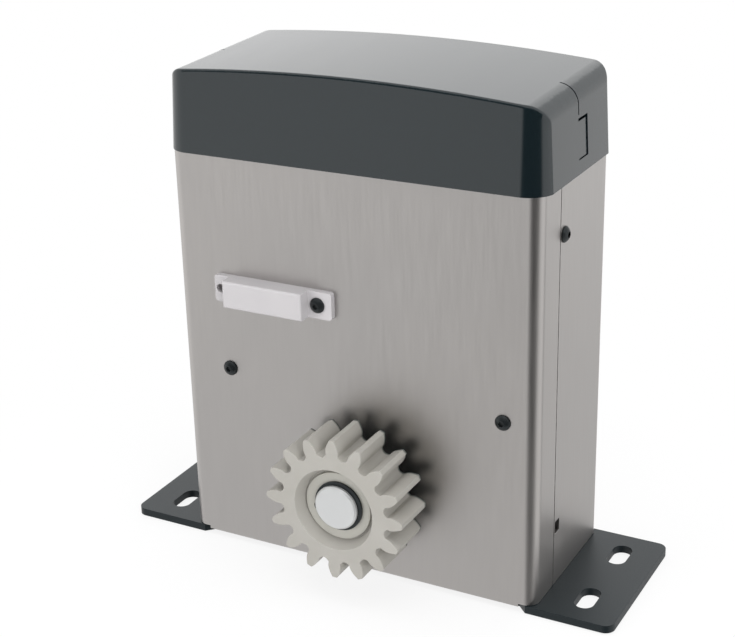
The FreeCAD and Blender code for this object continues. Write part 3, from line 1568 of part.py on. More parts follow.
def controller_chip():
    """Controller in a flat package."""
    return on_board(20.0, -5.0, 28.0, 8.0, 3.6, 0.4)


def receiver_module():
    """Plug-in radio receiver: an upright card with a screened can."""
    card = block((board_x + 34, mid_y + 6, board_top), (board_x + 35.6, mid_y + 24, board_top + 22))
    can = block((board_x + 35.6, mid_y + 9, board_top + 6), (board_x + 39, mid_y + 21, board_top + 18))
    header = block((board_x + 33, mid_y + 6, board_top), (board_x + 37, mid_y + 24, board_top + 3))
    return join([card, can, header])


def heat_sink():
    """Finned aluminium heat sink of the rectifier and the drive transistors."""
    x = board_x + 52.0
    y = mid_y + 4.0
    base = block((x - 12, y + 12, board_top), (x + 12, y + 15, board_top + 24))
    fins = []
    for step in range(6):
        left = x - 12 + step * 4.48
        fins.append(block((left, y + 2, board_top), (left + 1.6, y + 12, board_top + 24)))
    return join([base] + fins)


button_x = board_x - 10.0
button_y = mid_y - 6.0


def button_housing():
    """Square body of the learn button."""
    body = rounded_block((button_x - 6, button_y - 6, board_top),
                         (button_x + 6, button_y + 6, board_top + 4), 0.8, (0, 0, 1))
    return body.cut(rod(3.8, (button_x, button_y, board_top + 1.5), (button_x, button_y, board_top + 5)))


def learn_button():
    """Round cap of the learn button, which is pressed down."""
    stem = rod(3.5, (button_x, button_y, board_top + 1.5 + button_travel + 0.1),
               (button_x, button_y, board_top + 6))
    head = rod(4.5, (button_x, button_y, board_top + 4.1 + button_travel),
               (button_x, button_y, board_top + 8))
    return join([stem, head])


# ---------------------------------------------------------------- every piece

node("base_plate", base_plate())
node("cable_grommet", cable_grommet())
node("front_cover", front_cover())
node("rear_cover", rear_cover())
node("cover_screws", *cover_screws())
node("clinch_nuts", *clinch_nuts())
node("limit_sensor", limit_sensor())
node("top_cover", top_cover())
node("cap_plugs", *cap_plugs())
node("cap_screws", *cap_screws())
node("cap_nuts", *cap_nuts())
node("left_upright", upright(-1))
node("right_upright", upright(1))
node("equipment_shelf", equipment_shelf())
node("board_tray", board_tray())
node("frame_screws", *frame_screws())
node("gearbox_front_case", gearbox_front_case())
node("gearbox_rear_case", gearbox_rear_case())
node("case_gasket", case_gasket())
node("case_bolts", *case_bolts())
node("gearbox_bolts", *gearbox_bolts())
node("bearing_outer_races", *bearing_outer_races())
node("bearing_balls", *bearing_balls())
node("bearing_inner_races", *bearing_inner_races())
node("oil_seal", oil_seal())
node("output_shaft", output_shaft())
node("pinion", pinion())
node("retaining_washer", retaining_washer())
node("circlip", circlip())
node("shaft_keys", *shaft_keys())
node("worm_wheel", worm_wheel())
node("clutch_dog", clutch_dog())
node("release_spindle", release_spindle())
node("release_lever", release_lever())
node("worm_shaft", worm_shaft())
node("worm_inner_races", *worm_inner_races())
node("motor_front_plate", motor_front_plate())
node("motor_can", motor_can())
node("motor_end_bell", motor_end_bell())
node("motor_magnets", *motor_magnets())
node("motor_brushes", *motor_brushes())
node("motor_bolts", *motor_bolts())
node("armature_core", armature_core())
node("armature_winding", armature_winding())
node("commutator", commutator())
node("transformer_core", transformer_core())
node("transformer_coil", transformer_coil())
node("control_board", control_board())
node("board_spacers", *board_spacers())
node("board_screws", *board_screws())
node("relays", *relays())
node("terminal_blocks", *terminal_blocks())
node("fuse_holder", fuse_holder())
node("capacitors", *capacitors())
node("controller_chip", controller_chip())
node("receiver_module", receiver_module())
node("heat_sink", heat_sink())
node("button_housing", button_housing())
node("learn_button", learn_button())

os.makedirs("parts", exist_ok=True)
for name, shape in parts.items():
    shape.exportStep("parts/" + name + ".step")
    print(name, "solids", len(shape.Solids), "valid", shape.isValid(), "volume", round(shape.Volume, 1))
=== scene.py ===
# %% [markdown]
# # Dressing a slim sliding gate motor
# A sliding gate motor stands on a concrete pad beside the gate. Its toothed pinion drives a rack that is
# bolted along the gate. CAD already holds every piece at its real size, so this lesson adds what CAD leaves
# out: soft edges, finishes, small parts on the circuit board, light and a camera. The first cell loads the
# construction, which stays where it is for the whole script.

# %% Load the construction
import json
import math

import bmesh
import bpy
from mathutils import Matrix, Vector


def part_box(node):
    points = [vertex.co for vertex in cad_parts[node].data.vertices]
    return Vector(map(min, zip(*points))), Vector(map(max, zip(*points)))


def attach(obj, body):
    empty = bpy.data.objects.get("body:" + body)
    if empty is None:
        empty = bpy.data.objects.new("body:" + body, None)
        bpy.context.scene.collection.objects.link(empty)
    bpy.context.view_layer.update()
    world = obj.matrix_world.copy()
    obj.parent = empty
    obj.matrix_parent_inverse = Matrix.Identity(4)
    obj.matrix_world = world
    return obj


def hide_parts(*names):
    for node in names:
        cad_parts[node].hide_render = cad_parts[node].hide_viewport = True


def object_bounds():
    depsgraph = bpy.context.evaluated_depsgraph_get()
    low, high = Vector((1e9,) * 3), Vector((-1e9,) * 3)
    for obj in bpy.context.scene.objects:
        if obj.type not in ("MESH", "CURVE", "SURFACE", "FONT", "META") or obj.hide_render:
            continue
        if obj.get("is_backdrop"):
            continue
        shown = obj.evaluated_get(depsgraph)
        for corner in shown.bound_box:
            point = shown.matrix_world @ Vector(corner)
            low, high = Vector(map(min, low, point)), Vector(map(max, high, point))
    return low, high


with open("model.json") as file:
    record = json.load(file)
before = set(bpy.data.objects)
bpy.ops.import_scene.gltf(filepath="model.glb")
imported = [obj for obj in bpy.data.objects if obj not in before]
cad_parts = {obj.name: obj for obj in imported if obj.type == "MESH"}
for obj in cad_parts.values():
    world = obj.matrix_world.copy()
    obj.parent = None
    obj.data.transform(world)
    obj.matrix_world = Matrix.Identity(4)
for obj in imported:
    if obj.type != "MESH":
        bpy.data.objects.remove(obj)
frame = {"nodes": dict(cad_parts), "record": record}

MM = 0.001
cad_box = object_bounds()
nodes = frame["nodes"]
record = frame["record"]
slot_of = {part["node"]: part["material_slot"] for part in record["subparts"]}
body_of = {node: body for body, members in record["behaviour"]["bodies"].items() for node in members}

# %% [markdown]
# ## Camera
# The motor is seen from its front right, a little from above, with a lens of about 80 mm, so its upright
# edges lean only slightly. The camera is placed by the angles it looks along and the point it looks at.
# Euler angles would do as well, but three perpendicular directions make the small roll easy to add.


# %% Camera
def direction(azimuth, elevation):
    """Unit vector for an azimuth, counted from the front towards the right, and an elevation, in degrees."""
    turn, tilt = math.radians(azimuth), math.radians(elevation)
    return Vector((math.sin(turn) * math.cos(tilt), -math.cos(turn) * math.cos(tilt), math.sin(tilt)))


camera_azimuth, camera_elevation = 28.54, 22.167
roll = math.radians(-1.483)
look_at = Vector((9.32, -40.76, 135.71)) * MM
camera_distance = 0.7349
back = direction(camera_azimuth, camera_elevation)
level_right = (-back).cross(Vector((0, 0, 1))).normalized()
level_up = level_right.cross(-back)
right = math.cos(roll) * level_right + math.sin(roll) * level_up
up = math.cos(roll) * level_up - math.sin(roll) * level_right

camera = bpy.data.objects.new("camera", bpy.data.cameras.new("camera"))
bpy.context.scene.collection.objects.link(camera)
turned_to_view = Matrix((right, up, back)).transposed().to_4x4()
camera.matrix_world = Matrix.Translation(look_at + back * camera_distance) @ turned_to_view
camera.data.sensor_fit = "HORIZONTAL"
camera.data.sensor_width = 36.0
camera.data.lens = 78.246
camera.data.clip_start = 0.05
bpy.context.scene.camera = camera
print("camera at", [round(value, 3) for value in camera.matrix_world.translation])

# %% [markdown]
# ## Light
# A glossy dark moulding shows its surroundings more than its own colour, so the studio matters as much as
# the finish. The world is white for the camera and for reflections, as a white sweep would be. Four black
# cards darken it, on the camera's side, above that, at the right and faintly at the left: they give the
# dark lines and slow falls in tone that a studio uses to draw the edges of shiny things. Scattered light
# from the world stays moderate. The cards could be real planes, but a mask by direction needs no objects
# and stays as soft as wanted.

# %% World
bpy.context.scene.view_settings.view_transform = "Standard"
world = bpy.data.worlds.new("studio")
bpy.context.scene.world = world
world.use_nodes = True
sky = world.node_tree
sky.nodes.clear()


def add(tree, kind, links=(), **settings):
    """New node in a tree with its settings, input values (From_Min sets From Min) and links."""
    node = tree.nodes.new(kind)
    for key, value in settings.items():
        if hasattr(node, key):
            setattr(node, key, value)
        else:
            node.inputs[key.replace("_", " ").title()].default_value = value
    for socket, source in links:
        tree.links.new(source, node.inputs[socket])
    return node


def fill_in(tree, node, terms):
    """Gives a node's inputs, in order, a link where the term is a socket and a value where it is a number."""
    for socket, term in zip(node.inputs, terms):
        if isinstance(term, bpy.types.NodeSocket):
            tree.links.new(term, socket)
        else:
            socket.default_value = term
    return node.outputs[0]


def calc(tree, operation, *terms):
    """Result of a Math node."""
    return fill_in(tree, add(tree, "ShaderNodeMath", operation=operation), terms)


def black_card(azimuth, elevation, half_width, softness, strength):
    """Light that is left beside a round black card that stands in one direction."""
    towards = add(sky, "ShaderNodeTexCoord")
    near = add(sky, "ShaderNodeVectorMath", operation="DOT_PRODUCT",
               links=[(0, towards.outputs["Generated"])])
    near.inputs[1].default_value = direction(azimuth, elevation)
    left = add(sky, "ShaderNodeMapRange", interpolation_type="SMOOTHSTEP",
               links=[("Value", near.outputs["Value"])],
               From_Min=math.cos(math.radians(half_width + softness)),
               From_Max=math.cos(math.radians(half_width)), To_Min=1.0, To_Max=1.0 - strength)
    return left.outputs["Result"]


def floor_shade(lowest, dark_below=-34, bright_above=-14):
    """Light that is left where reflections look down at the floor close to the motor."""
    towards = add(sky, "ShaderNodeTexCoord")
    parts = add(sky, "ShaderNodeSeparateXYZ", links=[(0, towards.outputs["Generated"])])
    left = add(sky, "ShaderNodeMapRange", links=[("Value", parts.outputs["Z"])], To_Min=lowest,
               From_Min=math.sin(math.radians(dark_below)), From_Max=math.sin(math.radians(bright_above)))
    return left.outputs["Result"]


cards = {  # azimuth, elevation, half width and softness in degrees, and strength
    "camera side": (31, 0, 40, 9, 0.96),
    "above the camera": (-25, 32, 20, 8, 0.9),
    "right end": (140, -22, 8, 4, 0.9),
    "low left": (-46, -32, 8, 12, 0.22),
}
paths = add(sky, "ShaderNodeLightPath")
light_left = floor_shade(0.8)
for card in cards.values():
    light_left = calc(sky, "MULTIPLY", light_left, black_card(*card))
fill = add(sky, "ShaderNodeBackground", Color=(0.98, 0.99, 1.0, 1), Strength=0.42)
mirrored = add(sky, "ShaderNodeBackground", Color=(1, 1, 1, 1), links=[("Strength", light_left)])
white = add(sky, "ShaderNodeBackground", Color=(1, 1, 1, 1), Strength=1.0)
reflected = add(sky, "ShaderNodeMixShader",
                links=[("Fac", paths.outputs["Is Glossy Ray"]), (1, fill.outputs[0]),
                       (2, mirrored.outputs[0])])
direct = calc(sky, "MAXIMUM", paths.outputs["Is Camera Ray"], paths.outputs["Is Transmission Ray"])
shown = add(sky, "ShaderNodeMixShader",
            links=[("Fac", direct), (1, reflected.outputs[0]), (2, white.outputs[0])])
add(sky, "ShaderNodeOutputWorld", links=[("Surface", shown.outputs[0])])
print("world of", len(sky.nodes), "shader nodes")

# %% [markdown]
# ### Lamps
# Four large soft lamps model the shape: one above, one at each side in front, and one behind. A small lamp
# would give hard shadows, and a studio avoids those for machinery. Only the lamp behind shows in
# reflections, where it brightens the crown of the cover. The others would draw rectangles on it.


# %% Lamps
def soft_lamp(name, place, aim, width, height, watts, mirrored=False):
    """Rectangular lamp at a place, turned to face a point; only a mirrored one shows in reflections."""
    lamp = bpy.data.objects.new(name, bpy.data.lights.new(name, "AREA"))
    lamp.data.shape = "RECTANGLE"
    lamp.data.size = width
    lamp.data.size_y = height
    lamp.data.energy = watts
    lamp.location = place
    lamp.rotation_euler = (Vector(aim) - Vector(place)).to_track_quat("-Z", "Y").to_euler()
    lamp.visible_camera = False
    lamp.visible_glossy = mirrored
    bpy.context.scene.collection.objects.link(lamp)


middle = Vector((0.0, 0.0, 0.12))
behind = direction(180 + camera_azimuth, 22.0)
soft_lamp("top lamp", (0.1, -0.1, 1.15), middle, 1.2, 1.0, 10.0)
soft_lamp("front left lamp", (-0.9, -1.1, 0.55), middle, 0.8, 0.9, 6.4)
soft_lamp("right lamp", (1.1, -0.9, 0.5), middle, 0.7, 0.9, 9.5)
soft_lamp("back lamp", middle + behind * 1.5, middle, 1.9, 1.5, 5.1, mirrored=True)

# %% [markdown]
# ### Floor
# The floor is a plain pale sheet. Close to the motor it is mostly lit as any surface, so it holds the
# shadow. Further away it glows white for the camera, so it joins the background without a line.

# %% Floor
floor_size = 8
shadow_reach, glow_reach = 0.12, 0.3
bpy.ops.mesh.primitive_plane_add(size=floor_size, location=(0, 0, -0.0006))
floor = bpy.context.object
floor.name = "floor"
floor.visible_glossy = False
floor_paint = bpy.data.materials.new("floor")
floor_paint.use_nodes = True
tree = floor_paint.node_tree
tree.nodes.clear()
diffuse = add(tree, "ShaderNodeBsdfDiffuse", Color=(0.9, 0.9, 0.9, 1))
glow = add(tree, "ShaderNodeEmission", Color=(1, 1, 1, 1), Strength=1.0)
paths = add(tree, "ShaderNodeLightPath")
place = add(tree, "ShaderNodeTexCoord")
away = add(tree, "ShaderNodeVectorMath", operation="LENGTH", links=[(0, place.outputs["Object"])])
clear = add(tree, "ShaderNodeMapRange", interpolation_type="SMOOTHSTEP", From_Min=shadow_reach,
            From_Max=glow_reach, To_Min=0.84, To_Max=1.0, links=[("Value", away.outputs["Value"])])
share = calc(tree, "MULTIPLY", paths.outputs["Is Camera Ray"], clear.outputs["Result"])
surface = add(tree, "ShaderNodeMixShader",
              links=[("Fac", share), (1, diffuse.outputs[0]), (2, glow.outputs[0])])
add(tree, "ShaderNodeOutputMaterial", links=[("Surface", surface.outputs[0])])
floor.data.materials.append(floor_paint)
floor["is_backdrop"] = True
print("floor of", floor_size, "m, shadow kept to", glow_reach, "m")

# %% [markdown]
# ## Effects that several finishes share
# Real surfaces are never one flat value. Three effects cover most of them: a fine grain that catches the
# light, broad patches where the tone drifts, and lighter edges, which are rubbed wear on most finishes and a
# painted highlight on the bends of the cover sheet. Each is a shader node group, built once, with its sizes
# as named inputs, and every finish places the groups with its own values. They read Object coordinates, which
# are metres on every piece here, so a frequency of 900 means 900 per metre.


# %% Group builder
def effect(name, inputs, output):
    """Empty shader node group with named sockets; returns it, its input sockets and its output socket."""
    group = bpy.data.node_groups.new(name, "ShaderNodeTree")
    for label, kind, value in inputs:
        socket = group.interface.new_socket(label, in_out="INPUT", socket_type=kind)
        socket.default_value = value
    group.interface.new_socket(output, in_out="OUTPUT", socket_type="NodeSocketFloat")
    given = group.nodes.new("NodeGroupInput").outputs
    return group, given, group.nodes.new("NodeGroupOutput").inputs[output]


# %% Grain: fine bumps, stretched along a direction for brushed metal
grain, take, give = effect("Grain", [("Stretch", "NodeSocketVector", (1, 1, 1)),
                                     ("Frequency", "NodeSocketFloat", 900.0),
                                     ("Detail", "NodeSocketFloat", 3.0)], "Height")
place = add(grain, "ShaderNodeTexCoord")
stretched = add(grain, "ShaderNodeVectorMath", operation="MULTIPLY",
                links=[(0, place.outputs["Object"]), (1, take["Stretch"])])
noise = add(grain, "ShaderNodeTexNoise", Roughness=0.6,
            links=[("Vector", stretched.outputs[0]), ("Scale", take["Frequency"]),
                   ("Detail", take["Detail"])])
grain.links.new(noise.outputs["Fac"], give)

# %% Drift: broad soft patches of tone
drift, take, give = effect("Drift", [("Frequency", "NodeSocketFloat", 12.0),
                                     ("Contrast", "NodeSocketFloat", 1.0)], "Mask")
place = add(drift, "ShaderNodeTexCoord")
noise = add(drift, "ShaderNodeTexNoise", Detail=4.0, Distortion=0.4,
            links=[("Vector", place.outputs["Object"]), ("Scale", take["Frequency"])])
centred = calc(drift, "SUBTRACT", noise.outputs["Fac"], 0.5)
widened = calc(drift, "MULTIPLY_ADD", centred, take["Contrast"], 0.5)
widened.node.use_clamp = True
drift.links.new(widened, give)

# %% Edge wear and painted edge highlight: where the rounded normal leaves the true one, broken up by noise
wear_and_highlight, take, give = effect("Edge wear", [("Width", "NodeSocketFloat", 0.0006),
                                        ("Amount", "NodeSocketFloat", 0.5)], "Mask")
soft = add(wear_and_highlight, "ShaderNodeBevel", samples=4, links=[("Radius", take["Width"])])
true = add(wear_and_highlight, "ShaderNodeNewGeometry")
agree = add(wear_and_highlight, "ShaderNodeVectorMath", operation="DOT_PRODUCT",
            links=[(0, soft.outputs["Normal"]), (1, true.outputs["Normal"])])
leave = add(wear_and_highlight, "ShaderNodeMapRange", From_Min=0.995, From_Max=0.8,
            links=[("Value", agree.outputs["Value"])])
place = add(wear_and_highlight, "ShaderNodeTexCoord")
breakup = add(wear_and_highlight, "ShaderNodeTexNoise", Scale=260.0, links=[("Vector", place.outputs["Object"])])
patchy = add(wear_and_highlight, "ShaderNodeMapRange", From_Min=0.4, From_Max=0.62,
             links=[("Value", breakup.outputs["Fac"])])
both = calc(wear_and_highlight, "MULTIPLY", leave.outputs["Result"], patchy.outputs["Result"])
amount = calc(wear_and_highlight, "MULTIPLY", both, take["Amount"])
amount.node.use_clamp = True
wear_and_highlight.links.new(amount, give)
print("effects:", grain.name, drift.name, wear_and_highlight.name)

# %% [markdown]
# ## Finishes
# A finish is a Principled shader fed by the effects. One function builds them all, because they differ only
# in their values: two tones with a drift between them, a lighter tone for the edges (rubbed wear, and on the
# cover sheet a painted highlight), a roughness that follows the grain, and a bump. Values that are the same
# all over, such as the metallic share, are set on the shader's own sockets.


# %% Finish builder
def linear(red, green, blue):
    """Scene colour of a paint chip given as 0 to 255."""
    chip = (channel / 255 for channel in (red, green, blue))
    return tuple(part / 12.92 if part <= 0.04045 else ((part + 0.055) / 1.055) ** 2.4 for part in chip) + (1,)


def mixed(tree, factor, first, second):
    """Colour between two others; each is a paint chip or the socket of another node."""
    node = add(tree, "ShaderNodeMix", data_type="RGBA", links=[("Factor", factor)])
    for place, colour in ((6, first), (7, second)):
        if isinstance(colour, bpy.types.NodeSocket):
            tree.links.new(colour, node.inputs[place])
        else:
            node.inputs[place].default_value = linear(*colour)
    return node.outputs[2]


def finish(name, tone, other, wear_and_highlight_tone=None, rough=0.5, spread=0.06, metal=0.0, drift_at=14.0, grain_at=900.0,
           stretch=(1, 1, 1), bump=0.1, depth=0.00003, edge=0.0006, wear_and_highlight_amount=0.5, coat=0.0, level=0.5):
    """Material with a drifting tone, lighter edges for wear and painted highlight, grain in its roughness and
    a fine bump.
    """
    made = bpy.data.materials.new(name)
    made.use_nodes = True
    tree = made.node_tree
    shader = tree.nodes["Principled BSDF"]
    for label, value in (("Metallic", metal), ("Coat Weight", coat), ("Coat Roughness", 0.12),
                         ("Specular IOR Level", level)):
        shader.inputs[label].default_value = value
    patches = add(tree, "ShaderNodeGroup", node_tree=drift, Frequency=drift_at, Contrast=1.6)
    colour = mixed(tree, patches.outputs["Mask"], tone, other)
    # The lighter edge tone is rubbed wear, and on the cover sheet a painted highlight over its bends
    if wear_and_highlight_tone:
        wear_and_highlight_mask = add(tree, "ShaderNodeGroup", node_tree=wear_and_highlight, Amount=wear_and_highlight_amount)
        wear_and_highlight_mask.inputs["Width"].default_value = edge
        colour = mixed(tree, wear_and_highlight_mask.outputs["Mask"], colour, wear_and_highlight_tone)
    tree.links.new(colour, shader.inputs["Base Color"])
    texture = add(tree, "ShaderNodeGroup", node_tree=grain, Stretch=stretch, Frequency=grain_at)
    height = texture.outputs["Height"]
    rougher = add(tree, "ShaderNodeMapRange", links=[("Value", height)], From_Min=0.3, From_Max=0.7,
                  To_Min=rough - spread, To_Max=rough + spread)
    tree.links.new(rougher.outputs["Result"], shader.inputs["Roughness"])
    relief = add(tree, "ShaderNodeBump", Strength=bump, Distance=depth, links=[("Height", height)])
    tree.links.new(relief.outputs["Normal"], shader.inputs["Normal"])
    return made


# %% [markdown]
# ### The outside
# The folded covers are brushed sheet: the grain runs up the panel, and the metal mirrors the back of the
# pinion, darkened with painted shade, as a soft dark patch. The top cover and the base plate are dark, one a
# fine-textured moulding and the other powder coat. The pinion is a matt casting, and the sensor is a pale
# moulding.

# %% Outside finishes
finishes = {
    # The lighter edge tone of the cover sheet, widened over its bends, is a painted highlight
    "cover_steel": finish(
        "brushed cover sheet", (194, 191, 189), (199, 195, 192), (232, 230, 228), rough=0.42, spread=0.03,
        metal=1.0, drift_at=9, grain_at=700, stretch=(1, 1, 0.05), bump=0.12, depth=0.00002, edge=0.0012,
        wear_and_highlight_amount=0.7),
    "cap_plastic": finish(
        "moulded cover plastic", (12, 23, 27), (14, 26, 30), (38, 46, 49), rough=0.2, spread=0.03, level=0.72,
        drift_at=10, grain_at=2600, bump=0.25, edge=0.0007, wear_and_highlight_amount=0.25),
    "plate_paint": finish(
        "powder coat", (15, 25, 29), (18, 28, 32), (58, 64, 66), rough=0.42, level=0.4, drift_at=12,
        grain_at=1500, bump=0.35, depth=0.00005, edge=0.0005),
    "pinion_steel": finish(
        "matt pinion casting", (177, 174, 168), (170, 167, 160), (195, 192, 187), rough=0.55, spread=0.08,
        metal=0.1, drift_at=60, grain_at=2200, bump=0.3, depth=0.00004, edge=0.0005),
    "sensor_plastic": finish(
        "sensor moulding", (193, 190, 191), (188, 185, 187), (206, 204, 205), rough=0.42, drift_at=40,
        grain_at=2600, bump=0.2, depth=0.00002, edge=0.0005, wear_and_highlight_amount=0.3),
    "black_screw": finish(
        "blackened screw", (40, 44, 46), (50, 53, 54), (92, 94, 95), rough=0.36, spread=0.08, metal=0.6,
        drift_at=200, grain_at=4000, bump=0.2, depth=0.00002, edge=0.0003, wear_and_highlight_amount=0.6),
    "shaft_steel": finish(
        "ground shaft steel", (212, 213, 213), (208, 209, 209), (226, 226, 225), rough=0.34, spread=0.04,
        metal=0.5, drift_at=50, grain_at=1500, bump=0.06, depth=0.00001, edge=0.0004),
    "washer_zinc": finish(
        "dull washer plating", (188, 186, 178), (180, 178, 170), (204, 202, 196), rough=0.44, spread=0.05,
        metal=0.25, drift_at=60, grain_at=1500, bump=0.08, depth=0.00001, edge=0.0004),
    "rubber": finish(
        "black rubber", (26, 26, 27), (33, 33, 34), rough=0.7, spread=0.08, grain_at=1800, bump=0.3,
        depth=0.00005, level=0.3),
}
print(len(finishes), "outside finishes")

# %% [markdown]
# ### The back of the pinion
# The cast pinion is blasted where it shows. Its back, which faces the housing, carries painted shade: a dark
# bluish colour that the metal panel mirrors as a soft dark patch. The painted shade is laid over the
# casting's colour by a mask along the shaft, so that one material serves the whole pinion.

# %% Painted shade on the pinion's back
# Depth along the shaft and fade of the painted shade on the pinion's back
back_shade_depth, back_shade_fade = 1.8 * MM, 1.6 * MM
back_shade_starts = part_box("pinion")[1][1] - back_shade_depth
casting = finishes["pinion_steel"].copy()
casting.name = "pinion casting with its skin"
finishes["casting_with_painted_shade"] = casting
tree = casting.node_tree
colour_in = tree.nodes["Principled BSDF"].inputs["Base Color"]
place = add(tree, "ShaderNodeTexCoord")
parts = add(tree, "ShaderNodeSeparateXYZ", links=[(0, place.outputs["Object"])])
back_shade_mask = add(tree, "ShaderNodeMapRange", links=[("Value", parts.outputs["Y"])], From_Min=back_shade_starts,
              From_Max=back_shade_starts + back_shade_fade)
bare = colour_in.links[0].from_socket
# The dark bluish colour is painted shade on the back of the pinion
tree.links.new(mixed(tree, back_shade_mask.outputs["Result"], bare, (30, 46, 48)), colour_in)
print("painted back shade from", round(back_shade_starts / MM, 2), "mm")

# %% [markdown]
# ### The inside
# Lifting the top cover shows the tray, the circuit board and what stands on it. Further down are the
# zinc-plated frame, the gearbox casting, the motor and the transformer. They are dressed with the same
# care, because the model is also used opened up.

# %% Inside finishes: metals
finishes.update({
    "zinc_steel": finish(
        "zinc plate", (190, 193, 190), (170, 176, 178), (214, 215, 212), rough=0.34, spread=0.1, metal=0.9,
        drift_at=90, grain_at=500, bump=0.08, depth=0.00002, edge=0.0004, wear_and_highlight_amount=0.4),
    "cast_aluminium": finish(
        "cast aluminium", (168, 170, 172), (152, 155, 158), (205, 206, 207), rough=0.48, spread=0.1,
        metal=0.85, drift_at=40, grain_at=1300, bump=0.6, depth=0.0001, edge=0.0008, wear_and_highlight_amount=0.6),
    "black_aluminium": finish(
        "black anodised aluminium", (30, 31, 33), (36, 37, 39), (120, 121, 122), rough=0.4, metal=0.7,
        grain_at=600, stretch=(0.1, 1, 1), bump=0.15, wear_and_highlight_amount=0.6),
    "bearing_steel": finish(
        "polished bearing steel", (206, 208, 210), (194, 196, 199), rough=0.16, spread=0.05, metal=1.0,
        drift_at=120, bump=0.05, depth=0.00001),
    "bronze": finish(
        "machined bronze", (182, 140, 78), (168, 126, 68), (214, 178, 118), rough=0.32, spread=0.1,
        metal=0.95, drift_at=70, grain_at=1100, bump=0.15, edge=0.0004, wear_and_highlight_amount=0.6),
    "lamination": finish(
        "stacked core sheets", (88, 90, 94), (70, 72, 76), (130, 131, 133), rough=0.42, spread=0.12,
        metal=0.7, drift_at=60, stretch=(0.05, 1.4, 0.05), bump=0.6, depth=0.00015, wear_and_highlight_amount=0.4),
    "copper": finish(
        "enamelled copper wire", (168, 88, 44), (146, 72, 36), (200, 120, 70), rough=0.3, spread=0.08,
        metal=0.8, drift_at=50, grain_at=420, stretch=(0.2, 0.2, 5.0), bump=0.8, depth=0.0003, coat=0.4),
    "motor_paint": finish(
        "satin black motor paint", (28, 29, 30), (34, 35, 36), (96, 97, 98), rough=0.35, drift_at=30,
        grain_at=1400, bump=0.15),
    "magnet": finish(
        "ferrite", (52, 52, 54), (44, 44, 46), rough=0.6, spread=0.1, metal=0.3, grain_at=2000, bump=0.4),
})

# %% Inside finishes: mouldings and others
finishes.update({
    "gasket": finish(
        "fibre gasket", (70, 80, 74), (60, 68, 64), rough=0.8, spread=0.05, grain_at=2400, bump=0.4),
    "black_plastic": finish(
        "black moulding", (24, 25, 26), (30, 31, 32), (58, 59, 60), rough=0.45, spread=0.07, drift_at=40,
        grain_at=2600, bump=0.25, wear_and_highlight_amount=0.3),
    "carbon": finish(
        "carbon brush", (30, 30, 31), (38, 38, 39), rough=0.5, spread=0.1, grain_at=2600, bump=0.3),
    "relay_plastic": finish(
        "relay case", (34, 36, 40), (40, 42, 46), (70, 72, 75), rough=0.25, spread=0.05, drift_at=60,
        grain_at=1800, wear_and_highlight_amount=0.3),
    "terminal_plastic": finish(
        "terminal moulding", (38, 120, 76), (32, 108, 66), (70, 150, 104), rough=0.4, drift_at=60,
        grain_at=2200, bump=0.15, wear_and_highlight_amount=0.3),
    "capacitor_sleeve": finish(
        "capacitor sleeve", (30, 36, 62), (26, 31, 54), (70, 76, 100), rough=0.22, spread=0.05, drift_at=80,
        wear_and_highlight_amount=0.3),
    "button_red": finish(
        "red button", (176, 34, 30), (160, 28, 26), (204, 80, 74), rough=0.3, spread=0.05, drift_at=90,
        grain_at=2200, wear_and_highlight_amount=0.3),
})
print(len(finishes), "finishes so far")

# %% [markdown]
# ### The circuit board
# A board is green lacquer over copper tracks. The tracks stand a little proud and shine through lighter. A
# Brick texture gives straight tracks with right-angled steps, and a Voronoi texture gives the round solder
# pads.

# %% Circuit board finish
board = bpy.data.materials.new("circuit board")
board.use_nodes = True
tree = board.node_tree
shader = tree.nodes["Principled BSDF"]
for label, value in (("Coat Weight", 0.3), ("Coat Roughness", 0.15), ("Roughness", 0.32)):
    shader.inputs[label].default_value = value
place = add(tree, "ShaderNodeTexCoord")
tracks = add(tree, "ShaderNodeTexBrick", links=[("Vector", place.outputs["Object"])], offset=0.37, Scale=70.0,
             Mortar_Size=0.035, Mortar_Smooth=0.1, Brick_Width=0.9, Row_Height=0.22, Color1=(0, 0, 0, 1),
             Color2=(0, 0, 0, 1), Mortar=(1, 1, 1, 1))
pads = add(tree, "ShaderNodeTexVoronoi", Scale=190.0, links=[("Vector", place.outputs["Object"])])
pad = calc(tree, "LESS_THAN", pads.outputs["Distance"], 0.17)
lacquer = mixed(tree, tracks.outputs["Color"], (16, 78, 44), (38, 122, 66))
tree.links.new(mixed(tree, pad, lacquer, (196, 198, 196)), shader.inputs["Base Color"])
tree.links.new(pad, shader.inputs["Metallic"])
raised = calc(tree, "ADD", tracks.outputs["Color"], pad)
relief = add(tree, "ShaderNodeBump", Strength=0.4, Distance=0.00006, links=[("Height", raised)])
tree.links.new(relief.outputs["Normal"], shader.inputs["Normal"])
finishes["circuit_board"] = board
print(len(finishes), "finishes; missing:", sorted(set(slot_of.values()) - set(finishes)))

# %% [markdown]
# ## Soft edges
# Nothing on a real product has a perfectly sharp edge: moulded corners are rounded, sheet is deburred, and
# a cast tooth has a small radius. A bright line along those radii is what makes an edge read as real. A
# Bevel modifier adds them to a copy of each CAD piece. The copy is first merged into one skin and its flat
# faces are dissolved, so that the bevel finds only true edges. Weighted normals then keep the flats flat.
# The copy stands for the CAD piece.


# %% Dressed copies
same_place = 0.004 * MM
flat_enough = math.radians(0.4)


def in_scene(name, mesh):
    """New object for a mesh, in the scene."""
    piece = bpy.data.objects.new(name, mesh)
    bpy.context.scene.collection.objects.link(piece)
    return piece


def baked(piece):
    """Plain mesh of an object with its modifiers."""
    return bpy.data.meshes.new_from_object(piece.evaluated_get(bpy.context.evaluated_depsgraph_get()))


